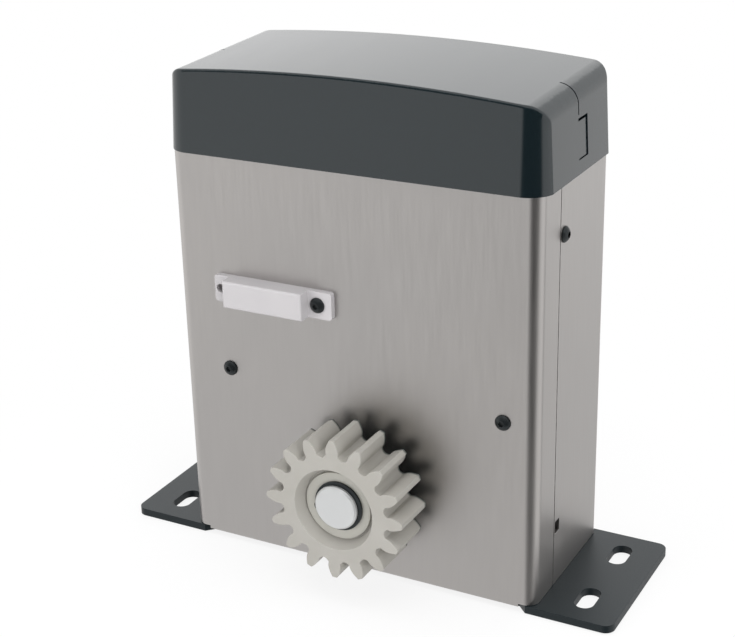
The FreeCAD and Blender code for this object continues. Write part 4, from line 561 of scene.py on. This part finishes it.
def dressed(node, width, mesh=None, paint=None):
    """Copy of a CAD piece, or a mesh that stands for it, with merged faces, rounded edges and true flats."""
    mesh = mesh or nodes[node].data.copy()
    skin = bmesh.new()
    skin.from_mesh(mesh)
    bmesh.ops.remove_doubles(skin, verts=skin.verts, dist=same_place)
    bmesh.ops.dissolve_limit(skin, angle_limit=flat_enough, verts=skin.verts, edges=skin.edges)
    for face in skin.faces:
        face.smooth = True
    skin.to_mesh(mesh)
    skin.free()
    if "custom_normal" in mesh.attributes:
        mesh.attributes.remove(mesh.attributes["custom_normal"])
    mesh.materials.clear()
    mesh.materials.append(finishes[paint or slot_of[node]])
    piece = in_scene("dressed_" + node, mesh)
    rounding = piece.modifiers.new("rounding", "BEVEL")
    rounding.width = width
    rounding.segments = 3
    rounding.limit_method = "ANGLE"
    rounding.angle_limit = math.radians(30)
    flats = piece.modifiers.new("flats", "WEIGHTED_NORMAL")
    flats.mode = "FACE_AREA"
    flats.weight = 60
    finished = baked(piece)
    piece.modifiers.clear()
    piece.data = finished
    finished.name = piece.name
    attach(piece, body_of[node])
    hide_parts(node)
    print(piece.name, len(finished.polygons), "faces")


rounded_edges = {  # millimetres
    "top_cover": 0.4,
    "cap_plugs": 0.2,
    "base_plate": 0.3,
    "front_cover": 0.2,
    "rear_cover": 0.2,
    "limit_sensor": 0.3,
    "output_shaft": 0.3,
    "circlip": 0.15,
    "release_lever": 0.4,
    "release_spindle": 0.3,
    "cable_grommet": 0.3,
    "board_tray": 0.2,
    "left_upright": 0.2,
    "right_upright": 0.2,
    "terminal_blocks": 0.2,
    "relays": 0.4,
    "capacitors": 0.5,
    "heat_sink": 0.15,
    "controller_chip": 0.15,
    "fuse_holder": 0.2,
    "button_housing": 0.3,
    "learn_button": 0.4,
    "control_board": 0.1,
}
for node, width in rounded_edges.items():
    dressed(node, width * MM)
dressed("retaining_washer", 0.2 * MM, paint="washer_zinc")

# %% [markdown]
# ## Shapes that follow a rule
# Geometry Nodes build a shape from a recipe with named sizes, so one tree serves every size and every
# number of copies. A few helpers cover what all the trees here share: a new tree with its inputs, the last
# step, where instances become real faces and take their finish, and between them a few steps such as a cut.
# A tree is used through a modifier, and the result is then taken out as a plain mesh.


# %% Recipes and their use
def recipe(name, sizes):
    """New Geometry Nodes tree with an input for each size; returns the tree and its input sockets."""
    tree = bpy.data.node_groups.new(name, "GeometryNodeTree")
    tree.interface.new_socket("Geometry", in_out="INPUT", socket_type="NodeSocketGeometry")
    kinds = {int: "NodeSocketInt", float: "NodeSocketFloat", tuple: "NodeSocketVector"}
    for label, value in sizes.items():
        socket = tree.interface.new_socket(label, in_out="INPUT", socket_type=kinds[type(value)])
        socket.default_value = value
    tree.interface.new_socket("Material", in_out="INPUT", socket_type="NodeSocketMaterial")
    tree.interface.new_socket("Geometry", in_out="OUTPUT", socket_type="NodeSocketGeometry")
    return tree, tree.nodes.new("NodeGroupInput").outputs


def serve(tree, take, geometry):
    """Last step of a recipe: real faces with a finish."""
    real = add(tree, "GeometryNodeRealizeInstances", links=[(0, geometry)])
    painted = add(tree, "GeometryNodeSetMaterial",
                  links=[(0, real.outputs[0]), ("Material", take["Material"])])
    tree.links.new(painted.outputs[0], tree.nodes.new("NodeGroupOutput").inputs[0])
    print(tree.name, "has", len(tree.nodes), "nodes")


def grown(name, tree, start=None, **values):
    """Plain mesh that a recipe makes from a starting mesh and its named values, set by socket identifier."""
    piece = in_scene(name, start or bpy.data.meshes.new(name))
    grower = piece.modifiers.new("grower", "NODES")
    grower.node_group = tree
    for socket in tree.interface.items_tree:
        label = socket.name.replace(" ", "_").lower()
        if socket.in_out == "INPUT" and label in values:
            grower[socket.identifier] = values[label]
    mesh = baked(piece)
    bpy.data.objects.remove(piece)
    print(name, len(mesh.polygons), "faces")
    return mesh


def points(name, places, facing=None):
    """Mesh of single points, each with the direction it faces."""
    mesh = bpy.data.meshes.new(name)
    mesh.from_pydata([tuple(place) for place in places], [], [])
    if facing:
        towards = mesh.attributes.new("facing", "FLOAT_VECTOR", "POINT")
        towards.data.foreach_set("vector", [part for way in facing for part in way])
    return mesh


# %% Steps that the recipes share
def ramp(tree, value, low, high, start, end):
    """Value that runs from start to end while another runs from low to high, and stays put outside."""
    return fill_in(tree, add(tree, "ShaderNodeMapRange"), (value, low, high, start, end))


def vector(tree, *terms):
    """Vector from three sockets or numbers."""
    return fill_in(tree, add(tree, "ShaderNodeCombineXYZ"), terms)


def shifted(tree, geometry, offset, turn=(0, 0, 0)):
    """Geometry turned about its origin and then moved by a vector socket."""
    return add(tree, "GeometryNodeTransform", Rotation=turn,
               links=[("Geometry", geometry), ("Translation", offset)]).outputs[0]


def bar(tree, sides, radius, length, low=None, turn=(0, 0, 0)):
    """Round or many-sided bar along Z from a height upwards, or with its middle at the origin."""
    node = add(tree, "GeometryNodeMeshCylinder", Vertices=sides,
               links=[("Radius", radius), ("Depth", length)])
    height = 0.0 if low is None else calc(tree, "MULTIPLY_ADD", length, 0.5, low)
    return shifted(tree, node.outputs[0], vector(tree, 0.0, 0.0, height), turn)


def cut_away(tree, solid, *cutters):
    """Solid without the shapes of its cutters."""
    node = add(tree, "GeometryNodeMeshBoolean", operation="DIFFERENCE",
               links=[(0, solid)] + [(1, cutter) for cutter in cutters])
    return node.outputs[0]


def set_on(tree, where, instance, turn=None):
    """Copies of a shape on the points of a mesh."""
    links = [("Points", where), ("Instance", instance)] + ([("Rotation", turn)] if turn else [])
    return add(tree, "GeometryNodeInstanceOnPoints", links=links).outputs[0]


# %% [markdown]
# ### The pinion
# The pinion is a spur gear with sixteen teeth of module 4. The flank of each tooth is an involute, the path
# of a string's end as it unwinds from the base circle, so that the gear turns the rack evenly. The recipe
# starts from a ring of 32 points per tooth and moves each point by that law: first the tip, then the flank,
# then the foot and the rounded root. The face is pulled out to the gear's width, and the bore, the dish
# round the washer and the keyway are cut away. Modelling one tooth by hand and copying it would also work,
# but the law gives the true flank for any module and any number of teeth.

# %% Gear sizes
upright_turn = (math.radians(90), 0, 0)
tree, take = recipe("Spur gear", {
    "Centre": (0.0, 0.0, 0.0), "Module": 4 * MM, "Teeth": 16, "Pressure Angle": math.radians(20.0),
    "Phase": 0.0, "Backlash": 0.25 * MM, "Root Depth": 1.25, "Width": 24.7 * MM, "Bore Radius": 11.05 * MM,
    "Dish Radius": 20.6 * MM, "Dish Floor Radius": 18.0 * MM, "Dish Depth": 6.6 * MM,
    "Keyway": (6.1 * MM, 15.2 * MM, 6.05 * MM), "Keyway Seat": 7.6 * MM})
pitch = calc(tree, "MULTIPLY", calc(tree, "MULTIPLY", take["Module"], take["Teeth"]), 0.5)
base = calc(tree, "MULTIPLY", pitch, calc(tree, "COSINE", take["Pressure Angle"]))
tip = calc(tree, "ADD", pitch, take["Module"])
root = calc(tree, "SUBTRACT", pitch, calc(tree, "MULTIPLY", take["Module"], take["Root Depth"]))
fillet_share = 0.35
foot = calc(tree, "MULTIPLY_ADD", take["Module"], fillet_share, root)
thickness = calc(tree, "SUBTRACT", calc(tree, "MULTIPLY", take["Module"], math.pi / 2), take["Backlash"])
half_pitch = calc(tree, "DIVIDE", calc(tree, "MULTIPLY", thickness, 0.5), pitch)
unwound = calc(tree, "SUBTRACT", calc(tree, "TANGENT", take["Pressure Angle"]), take["Pressure Angle"])
half_base = calc(tree, "ADD", half_pitch, unwound)
half_gap = calc(tree, "DIVIDE", math.pi, take["Teeth"])

# %% Gear outline: points are counted from the middle of a tooth to the middle of its gap
per_tooth, tip_ends, flank_ends, foot_at = 32, 3, 11, 12
gap_middle = per_tooth // 2
index = add(tree, "GeometryNodeInputIndex").outputs[0]
tooth = calc(tree, "FLOOR", calc(tree, "DIVIDE", index, per_tooth))
step = calc(tree, "SUBTRACT", calc(tree, "MODULO", index, per_tooth), gap_middle)
away = calc(tree, "ABSOLUTE", step)
flank = ramp(tree, away, tip_ends, flank_ends, tip, base)
ratio = calc(tree, "DIVIDE", flank, base)
above_base = calc(tree, "MAXIMUM", calc(tree, "SUBTRACT", calc(tree, "MULTIPLY", ratio, ratio), 1.0), 0.0)
string = calc(tree, "SQRT", above_base)
involute = calc(tree, "SUBTRACT", string, calc(tree, "ARCTANGENT", string))
flank_angle = calc(tree, "SUBTRACT", half_base, involute)
down_foot = ramp(tree, away, flank_ends, foot_at, 0.0, calc(tree, "SUBTRACT", base, foot))
into_gap = ramp(tree, away, foot_at, gap_middle, 1.0, 0.0)
root_drop = calc(tree, "SUBTRACT", 1.0, calc(tree, "MULTIPLY", into_gap, into_gap))
down_root = calc(tree, "MULTIPLY", root_drop, calc(tree, "SUBTRACT", foot, root))
radius = calc(tree, "SUBTRACT", calc(tree, "SUBTRACT", flank, down_foot), down_root)
gap_share = calc(tree, "SUBTRACT", 1.0, into_gap)
across_gap = calc(tree, "MULTIPLY", gap_share, calc(tree, "SUBTRACT", half_gap, half_base))
half_angle = calc(tree, "MULTIPLY_ADD", ramp(tree, away, 0, tip_ends, 0.0, 1.0), flank_angle, across_gap)
tooth_turn = calc(tree, "MULTIPLY_ADD", tooth, calc(tree, "MULTIPLY", half_gap, 2.0), take["Phase"])
angle = calc(tree, "MULTIPLY_ADD", calc(tree, "SIGN", step), half_angle, tooth_turn)
across = calc(tree, "MULTIPLY", radius, calc(tree, "COSINE", angle))
upward = calc(tree, "MULTIPLY", radius, calc(tree, "SINE", angle))
ring = add(tree, "GeometryNodeMeshCircle", fill_type="NGON",
           links=[("Vertices", calc(tree, "MULTIPLY", take["Teeth"], per_tooth))])
outline = add(tree, "GeometryNodeSetPosition",
              links=[("Geometry", ring.outputs[0]), ("Position", vector(tree, across, 0.0, upward))])

# %% Gear body
to_front = vector(tree, 0.0, calc(tree, "MULTIPLY", take["Width"], -1.0), 0.0)
pulled = add(tree, "GeometryNodeExtrudeMesh", Individual=False,
             links=[("Mesh", outline.outputs[0]), ("Offset", to_front)])
closing = add(tree, "GeometryNodeFlipFaces", links=[(0, outline.outputs[0])])
both = add(tree, "GeometryNodeJoinGeometry", links=[(0, pulled.outputs[0]), (0, closing.outputs[0])])
solid = add(tree, "GeometryNodeMergeByDistance", Distance=0.001 * MM, links=[("Geometry", both.outputs[0])])
bore = bar(tree, 96, take["Bore Radius"], calc(tree, "MULTIPLY", take["Width"], 3.0), turn=upright_turn)
past_front = 1.2
flare = calc(tree, "SUBTRACT", take["Dish Radius"], take["Dish Floor Radius"])
dish = add(tree, "GeometryNodeMeshCone", Vertices=128,
           links=[("Radius Top", calc(tree, "MULTIPLY_ADD", flare, past_front, take["Dish Floor Radius"])),
                  ("Radius Bottom", take["Dish Floor Radius"]),
                  ("Depth", calc(tree, "MULTIPLY", take["Dish Depth"], past_front))])
dish_floor = vector(tree, 0.0, calc(tree, "SUBTRACT", take["Dish Depth"], take["Width"]), 0.0)
dish = shifted(tree, dish.outputs[0], dish_floor, upright_turn)
key = add(tree, "GeometryNodeMeshCube", links=[("Size", take["Keyway"])])
key_parts = add(tree, "ShaderNodeSeparateXYZ", links=[(0, take["Keyway"])])
key_back = -0.95 * MM
key_middle = vector(tree, 0.0, calc(tree, "MULTIPLY_ADD", key_parts.outputs["Y"], -0.5, key_back),
                    calc(tree, "MULTIPLY_ADD", key_parts.outputs["Z"], 0.5, take["Keyway Seat"]))
key = shifted(tree, key.outputs[0], key_middle)
serve(tree, take, shifted(tree, cut_away(tree, solid.outputs[0], bore, dish, key), take["Centre"]))

# %% Grow the pinion
pinion_low, pinion_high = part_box("pinion")
shaft_low, shaft_high = (Vector(corner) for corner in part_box("output_shaft"))
shaft_middle = (shaft_low + shaft_high) / 2
tooth_phase = math.radians(-0.6)
# The pinion takes the casting finish with painted shade on its back
pinion_mesh = grown("pinion_gear", tree, centre=(shaft_middle.x, pinion_high[1], shaft_middle.z),
                    phase=tooth_phase, width=float(pinion_high[1] - pinion_low[1]),
                    material=finishes["casting_with_painted_shade"])
dressed("pinion", 0.4 * MM, pinion_mesh, "casting_with_painted_shade")

# %% [markdown]
# ### Button-head screws
# The covers are held by black M4 screws with a domed head and a hexagon socket. They are all the same, so
# one recipe makes a head, as the part of a ball that a round bar keeps, with the socket cut away, and sets
# it on points. Each point carries the direction it faces, which turns its screw. The points are found from
# the CAD screws themselves, so they can't drift from the holes.

# %% Button-head screw recipe
head_height = 2.3 * MM
tree, take = recipe("Button-head screws", {
    "Head Radius": 3.8 * MM, "Head Height": head_height, "Dome Radius": 4.6 * MM, "Socket Radius": 1.45 * MM,
    "Shank Radius": 2.0 * MM, "Shank Length": 7.0 * MM})
round_bar = bar(tree, 48, take["Head Radius"], take["Head Height"], 0.0)
ball = add(tree, "GeometryNodeMeshUVSphere", Segments=48, Rings=40, links=[("Radius", take["Dome Radius"])])
shoulder_share = 0.25
shoulder = calc(tree, "MULTIPLY", take["Head Height"], shoulder_share)
reach = calc(tree, "SUBTRACT", calc(tree, "MULTIPLY", take["Dome Radius"], take["Dome Radius"]),
             calc(tree, "MULTIPLY", take["Head Radius"], take["Head Radius"]))
sunk = calc(tree, "SUBTRACT", shoulder, calc(tree, "SQRT", reach))
ball = shifted(tree, ball.outputs[0], vector(tree, 0.0, 0.0, sunk))
head = add(tree, "GeometryNodeMeshBoolean", operation="INTERSECT", links=[(1, round_bar), (1, ball)])
socket_from = calc(tree, "MULTIPLY", take["Head Height"], 0.5)
socket = bar(tree, 6, take["Socket Radius"], take["Head Height"], socket_from)
head = cut_away(tree, head.outputs[0], socket)
shank = bar(tree, 24, take["Shank Radius"], take["Shank Length"],
            calc(tree, "MULTIPLY", take["Shank Length"], -1.0))
screw = add(tree, "GeometryNodeJoinGeometry", links=[(0, head), (0, shank)])
facing = add(tree, "GeometryNodeInputNamedAttribute", data_type="FLOAT_VECTOR", Name="facing")
turn = add(tree, "FunctionNodeAlignRotationToVector", axis="Z", links=[("Vector", facing.outputs[0])])
serve(tree, take, set_on(tree, take["Geometry"], screw.outputs[0], turn.outputs[0]))


# %% Find the CAD screws
def loose_parts(node):
    """Lowest and highest corner of each separate piece in a CAD node."""
    skin = bmesh.new()
    skin.from_mesh(nodes[node].data)
    bmesh.ops.remove_doubles(skin, verts=skin.verts, dist=same_place)
    waiting = set(skin.verts)
    boxes = []
    while waiting:
        front = [waiting.pop()]
        found = list(front)
        while front:
            near = {edge.other_vert(vert) for vert in front for edge in vert.link_edges} & waiting
            waiting -= near
            front = list(near)
            found += front
        boxes.append([Vector(most(vert.co[axis] for vert in found) for axis in range(3))
                      for most in (min, max)])
    skin.free()
    return sorted(boxes, key=lambda corners: tuple(corners[0]))


def head_seat(low, high):
    """Where a screw's head starts and the way it faces: along its longest side, away from the middle."""
    axis = max(range(3), key=lambda which: (high - low)[which])
    outward = 1 if low[axis] + high[axis] > 0 else -1
    way = Vector((0, 0, 0))
    way[axis] = outward
    seat = (low + high) / 2
    seat[axis] = (high if outward > 0 else low)[axis] - outward * head_height
    return seat, way


# %% Seat the new cover screws
seats, ways = zip(*(head_seat(*corners) for corners in loose_parts("cover_screws")))
screw_mesh = grown("cover_screw_heads", tree, points("cover screw seats", seats, ways),
                   material=finishes["black_screw"])
dressed("cover_screws", 0.12 * MM, screw_mesh)
print(len(seats), "cover screws")

# %% [markdown]
# ### Terminal screws
# Each way of the two terminal rows has a clamping screw at the bottom of its hole, with a slot for a small
# screwdriver. No two are turned alike, because each was tightened by hand. The recipe turns them by a
# random angle from a fixed seed, so the result is the same every time.

# %% Terminal screw recipe
tree, take = recipe("Slotted screws", {
    "Head Radius": 2.0 * MM, "Head Height": 2.6 * MM, "Slot": (0.6 * MM, 6.0 * MM, 1.6 * MM), "Seed": 3})
head = bar(tree, 28, take["Head Radius"], take["Head Height"], 0.0)
groove = add(tree, "GeometryNodeMeshCube", links=[("Size", take["Slot"])])
groove = shifted(tree, groove.outputs[0], vector(tree, 0.0, 0.0, take["Head Height"]))
by_hand = add(tree, "FunctionNodeRandomValue", data_type="FLOAT", links=[("Seed", take["Seed"])])
by_hand.inputs[3].default_value = math.pi
turn = vector(tree, 0.0, 0.0, by_hand.outputs[1])
serve(tree, take, set_on(tree, take["Geometry"], cut_away(tree, head, groove), turn))

# %% Set the terminal screws
row_low, row_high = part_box("terminal_blocks")
ways_per_row, way_pitch = 6, 7.6 * MM
clamp_inset, clamp_rise = 8.6 * MM, 8.0 * MM
clamp_y, clamp_z = row_low[1] + clamp_inset, row_low[2] + clamp_rise
row_starts = (row_low[0], row_high[0] - ways_per_row * way_pitch)
clamps = [(start + way_pitch * (way + 0.5), clamp_y, clamp_z)
          for start in row_starts for way in range(ways_per_row)]
terminal_screws = in_scene("terminal_screws", grown("terminal_screws", tree, points("clamps", clamps),
                                                    material=finishes["zinc_steel"]))
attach(terminal_screws, "housing")

# %% [markdown]
# ### Small parts on the board
# Between the large parts, a control board carries resistors and capacitors of a few millimetres, in rows,
# with some places left empty. Points on a grid, thinned out at random and turned by right angles, give that
# order with gaps. The recipe runs twice with the same seed: once for the dark bodies, once for the bright
# soldered ends.

# %% Board part recipe
tree, take = recipe("Board parts", {
    "Part Size": (2.0 * MM, 1.25 * MM, 0.6 * MM), "Share Kept": 0.75, "Seed": 11})
luck = add(tree, "FunctionNodeRandomValue", data_type="FLOAT", links=[("Seed", take["Seed"])])
left_out = add(tree, "FunctionNodeCompare", data_type="FLOAT", operation="GREATER_THAN",
               links=[(0, luck.outputs[1]), (1, take["Share Kept"])])
kept = add(tree, "GeometryNodeDeleteGeometry", domain="POINT",
           links=[("Geometry", take["Geometry"]), ("Selection", left_out.outputs[0])])
quarter = add(tree, "FunctionNodeRandomValue", data_type="FLOAT",
              links=[("Seed", calc(tree, "ADD", take["Seed"], 1.0))])
turned = calc(tree, "MULTIPLY", calc(tree, "ROUND", quarter.outputs[1]), math.pi / 2)
block = add(tree, "GeometryNodeMeshCube", links=[("Size", take["Part Size"])])
serve(tree, take, set_on(tree, kept.outputs[0], block.outputs[0], vector(tree, 0.0, 0.0, turned)))

# %% Fill the free areas of the board
board_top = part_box("control_board")[1][2]
part_middle = 0.3 * MM
column_step, row_step = 3.4, 3.2
free_areas = ((-65, -10, -45, 5), (36, -9, 66, 3), (-23, 2, 2, 5.5))  # left, front, right, rear in mm
spots = []
for left, front, right_side, rear in free_areas:
    columns = int((right_side - left) / column_step) + 1
    rows = int((rear - front) / row_step) + 1
    spots += [((left + column_step * column) * MM, (front + row_step * row) * MM, board_top + part_middle)
              for column in range(columns) for row in range(rows)]
for name, size, slot in (("board_part_bodies", (1.3 * MM, 1.25 * MM, 0.64 * MM), "black_plastic"),
                         ("board_part_ends", (2.1 * MM, 1.15 * MM, 0.56 * MM), "zinc_steel")):
    mesh = grown(name, tree, points(name, spots), part_size=size, material=finishes[slot])
    board_parts = in_scene(name, mesh)
    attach(board_parts, "housing")

# %% [markdown]
# ### Wire on the transformer
# The winding is enamelled wire laid turn beside turn on the bobbin. One turn is a rounded rectangle,
# repeated along the core's middle leg a wire's diameter apart, and a round wire follows each. A bump map
# would show the turns too, but their edges would stay smooth against the core.

# %% Winding recipe
wire_radius = 0.4 * MM
tree, take = recipe("Wire turns", {
    "Bottom": (0.0, 0.0, 0.0), "Width": 39.0 * MM, "Depth": 45.6 * MM, "Corner": 4.0 * MM,
    "Wire Radius": wire_radius, "Turns": 30})
one_turn = add(tree, "GeometryNodeCurvePrimitiveQuadrilateral",
               links=[("Width", take["Width"]), ("Height", take["Depth"])])
rounded = add(tree, "GeometryNodeFilletCurve", mode="POLY", Count=5,
              links=[("Curve", one_turn.outputs[0]), ("Radius", take["Corner"])])
wire_step = vector(tree, 0.0, 0.0, calc(tree, "MULTIPLY", take["Wire Radius"], 2.0))
stack = add(tree, "GeometryNodeMeshLine",
            links=[("Count", take["Turns"]), ("Start Location", take["Bottom"]), ("Offset", wire_step)])
turns = set_on(tree, stack.outputs[0], rounded.outputs[0])
real_turns = add(tree, "GeometryNodeRealizeInstances", links=[(0, turns)])
section = add(tree, "GeometryNodeCurvePrimitiveCircle", Resolution=8, links=[("Radius", take["Wire Radius"])])
wire = add(tree, "GeometryNodeCurveToMesh",
           links=[("Curve", real_turns.outputs[0]), ("Profile Curve", section.outputs[0])])
serve(tree, take, wire.outputs[0])

# %% Wind the transformer
coil_low, coil_high = (Vector(corner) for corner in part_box("transformer_coil"))
coil = coil_high - coil_low
cheek, side_inset, front_inset = 2.4 * MM, 0.4 * MM, 2.4 * MM
turn_count = int((coil.z - 2 * cheek) / (2 * wire_radius)) + 1
bottom = ((coil_low.x + coil_high.x) / 2, (coil_low.y + coil_high.y) / 2, coil_low.z + cheek)
coil_turns = in_scene("coil_turns", grown(
    "coil_turns", tree, bottom=bottom, width=coil.x - side_inset, depth=coil.y - front_inset,
    turns=turn_count, material=finishes["copper"]))
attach(coil_turns, "housing")

# %% [markdown]
# ### The circlip
# A circlip can sit in its groove at any angle, and here its two eyes point to the lower left. A real
# circlip is widest opposite its opening and narrows towards its eyes, so that it bends evenly when it is
# spread. The points of the finished copy are turned about the shaft, and then moved towards the groove by a
# share that depends on their angle. Moving the mesh and not the object keeps the piece at the origin
# unturned.

# %% Turn and taper the circlip
eyes_turn, widest_at = math.radians(-175), math.radians(35)
usual_share, share_swing = 0.56, 0.26
clip = bpy.data.objects["dressed_circlip"].data
clip.transform(Matrix.Translation(shaft_middle) @ Matrix.Rotation(eyes_turn, 4, "Y")
               @ Matrix.Translation(-shaft_middle))


def from_shaft(vert):
    """Distance from the shaft's axis and angle round it."""
    across, upward = vert.co.x - shaft_middle.x, vert.co.z - shaft_middle.z
    return math.hypot(across, upward), math.atan2(upward, across)


groove = min(from_shaft(vert)[0] for vert in clip.vertices)
for vert in clip.vertices:
    distance, angle = from_shaft(vert)
    width_share = usual_share + share_swing * math.cos(angle - widest_at)
    distance = groove + (distance - groove) * width_share
    vert.co.x = shaft_middle.x + distance * math.cos(angle)
    vert.co.z = shaft_middle.z + distance * math.sin(angle)
print("circlip groove radius", round(groove / MM, 2), "mm")

# %% [markdown]
# ## Everything else
# The other CAD pieces keep their own meshes and only take their finish.

# %% Finishes on the other nodes
for name, piece in nodes.items():
    piece.data.materials.clear()
    piece.data.materials.append(finishes[slot_of[name]])
print("finishes on", len(nodes), "CAD nodes")

# %% [markdown]
# ## Sizes and finish
# Nothing added may stand outside the CAD box. Both boxes are printed so that they can be compared.

# %% Write the sizes and close
visual_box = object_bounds()
as_numbers = lambda box: [[float(value) for value in corner] for corner in box]
{"cad": as_numbers(cad_box), "visual": as_numbers(visual_box)}
print("CAD box", as_numbers(cad_box), "visual box", as_numbers(visual_box))
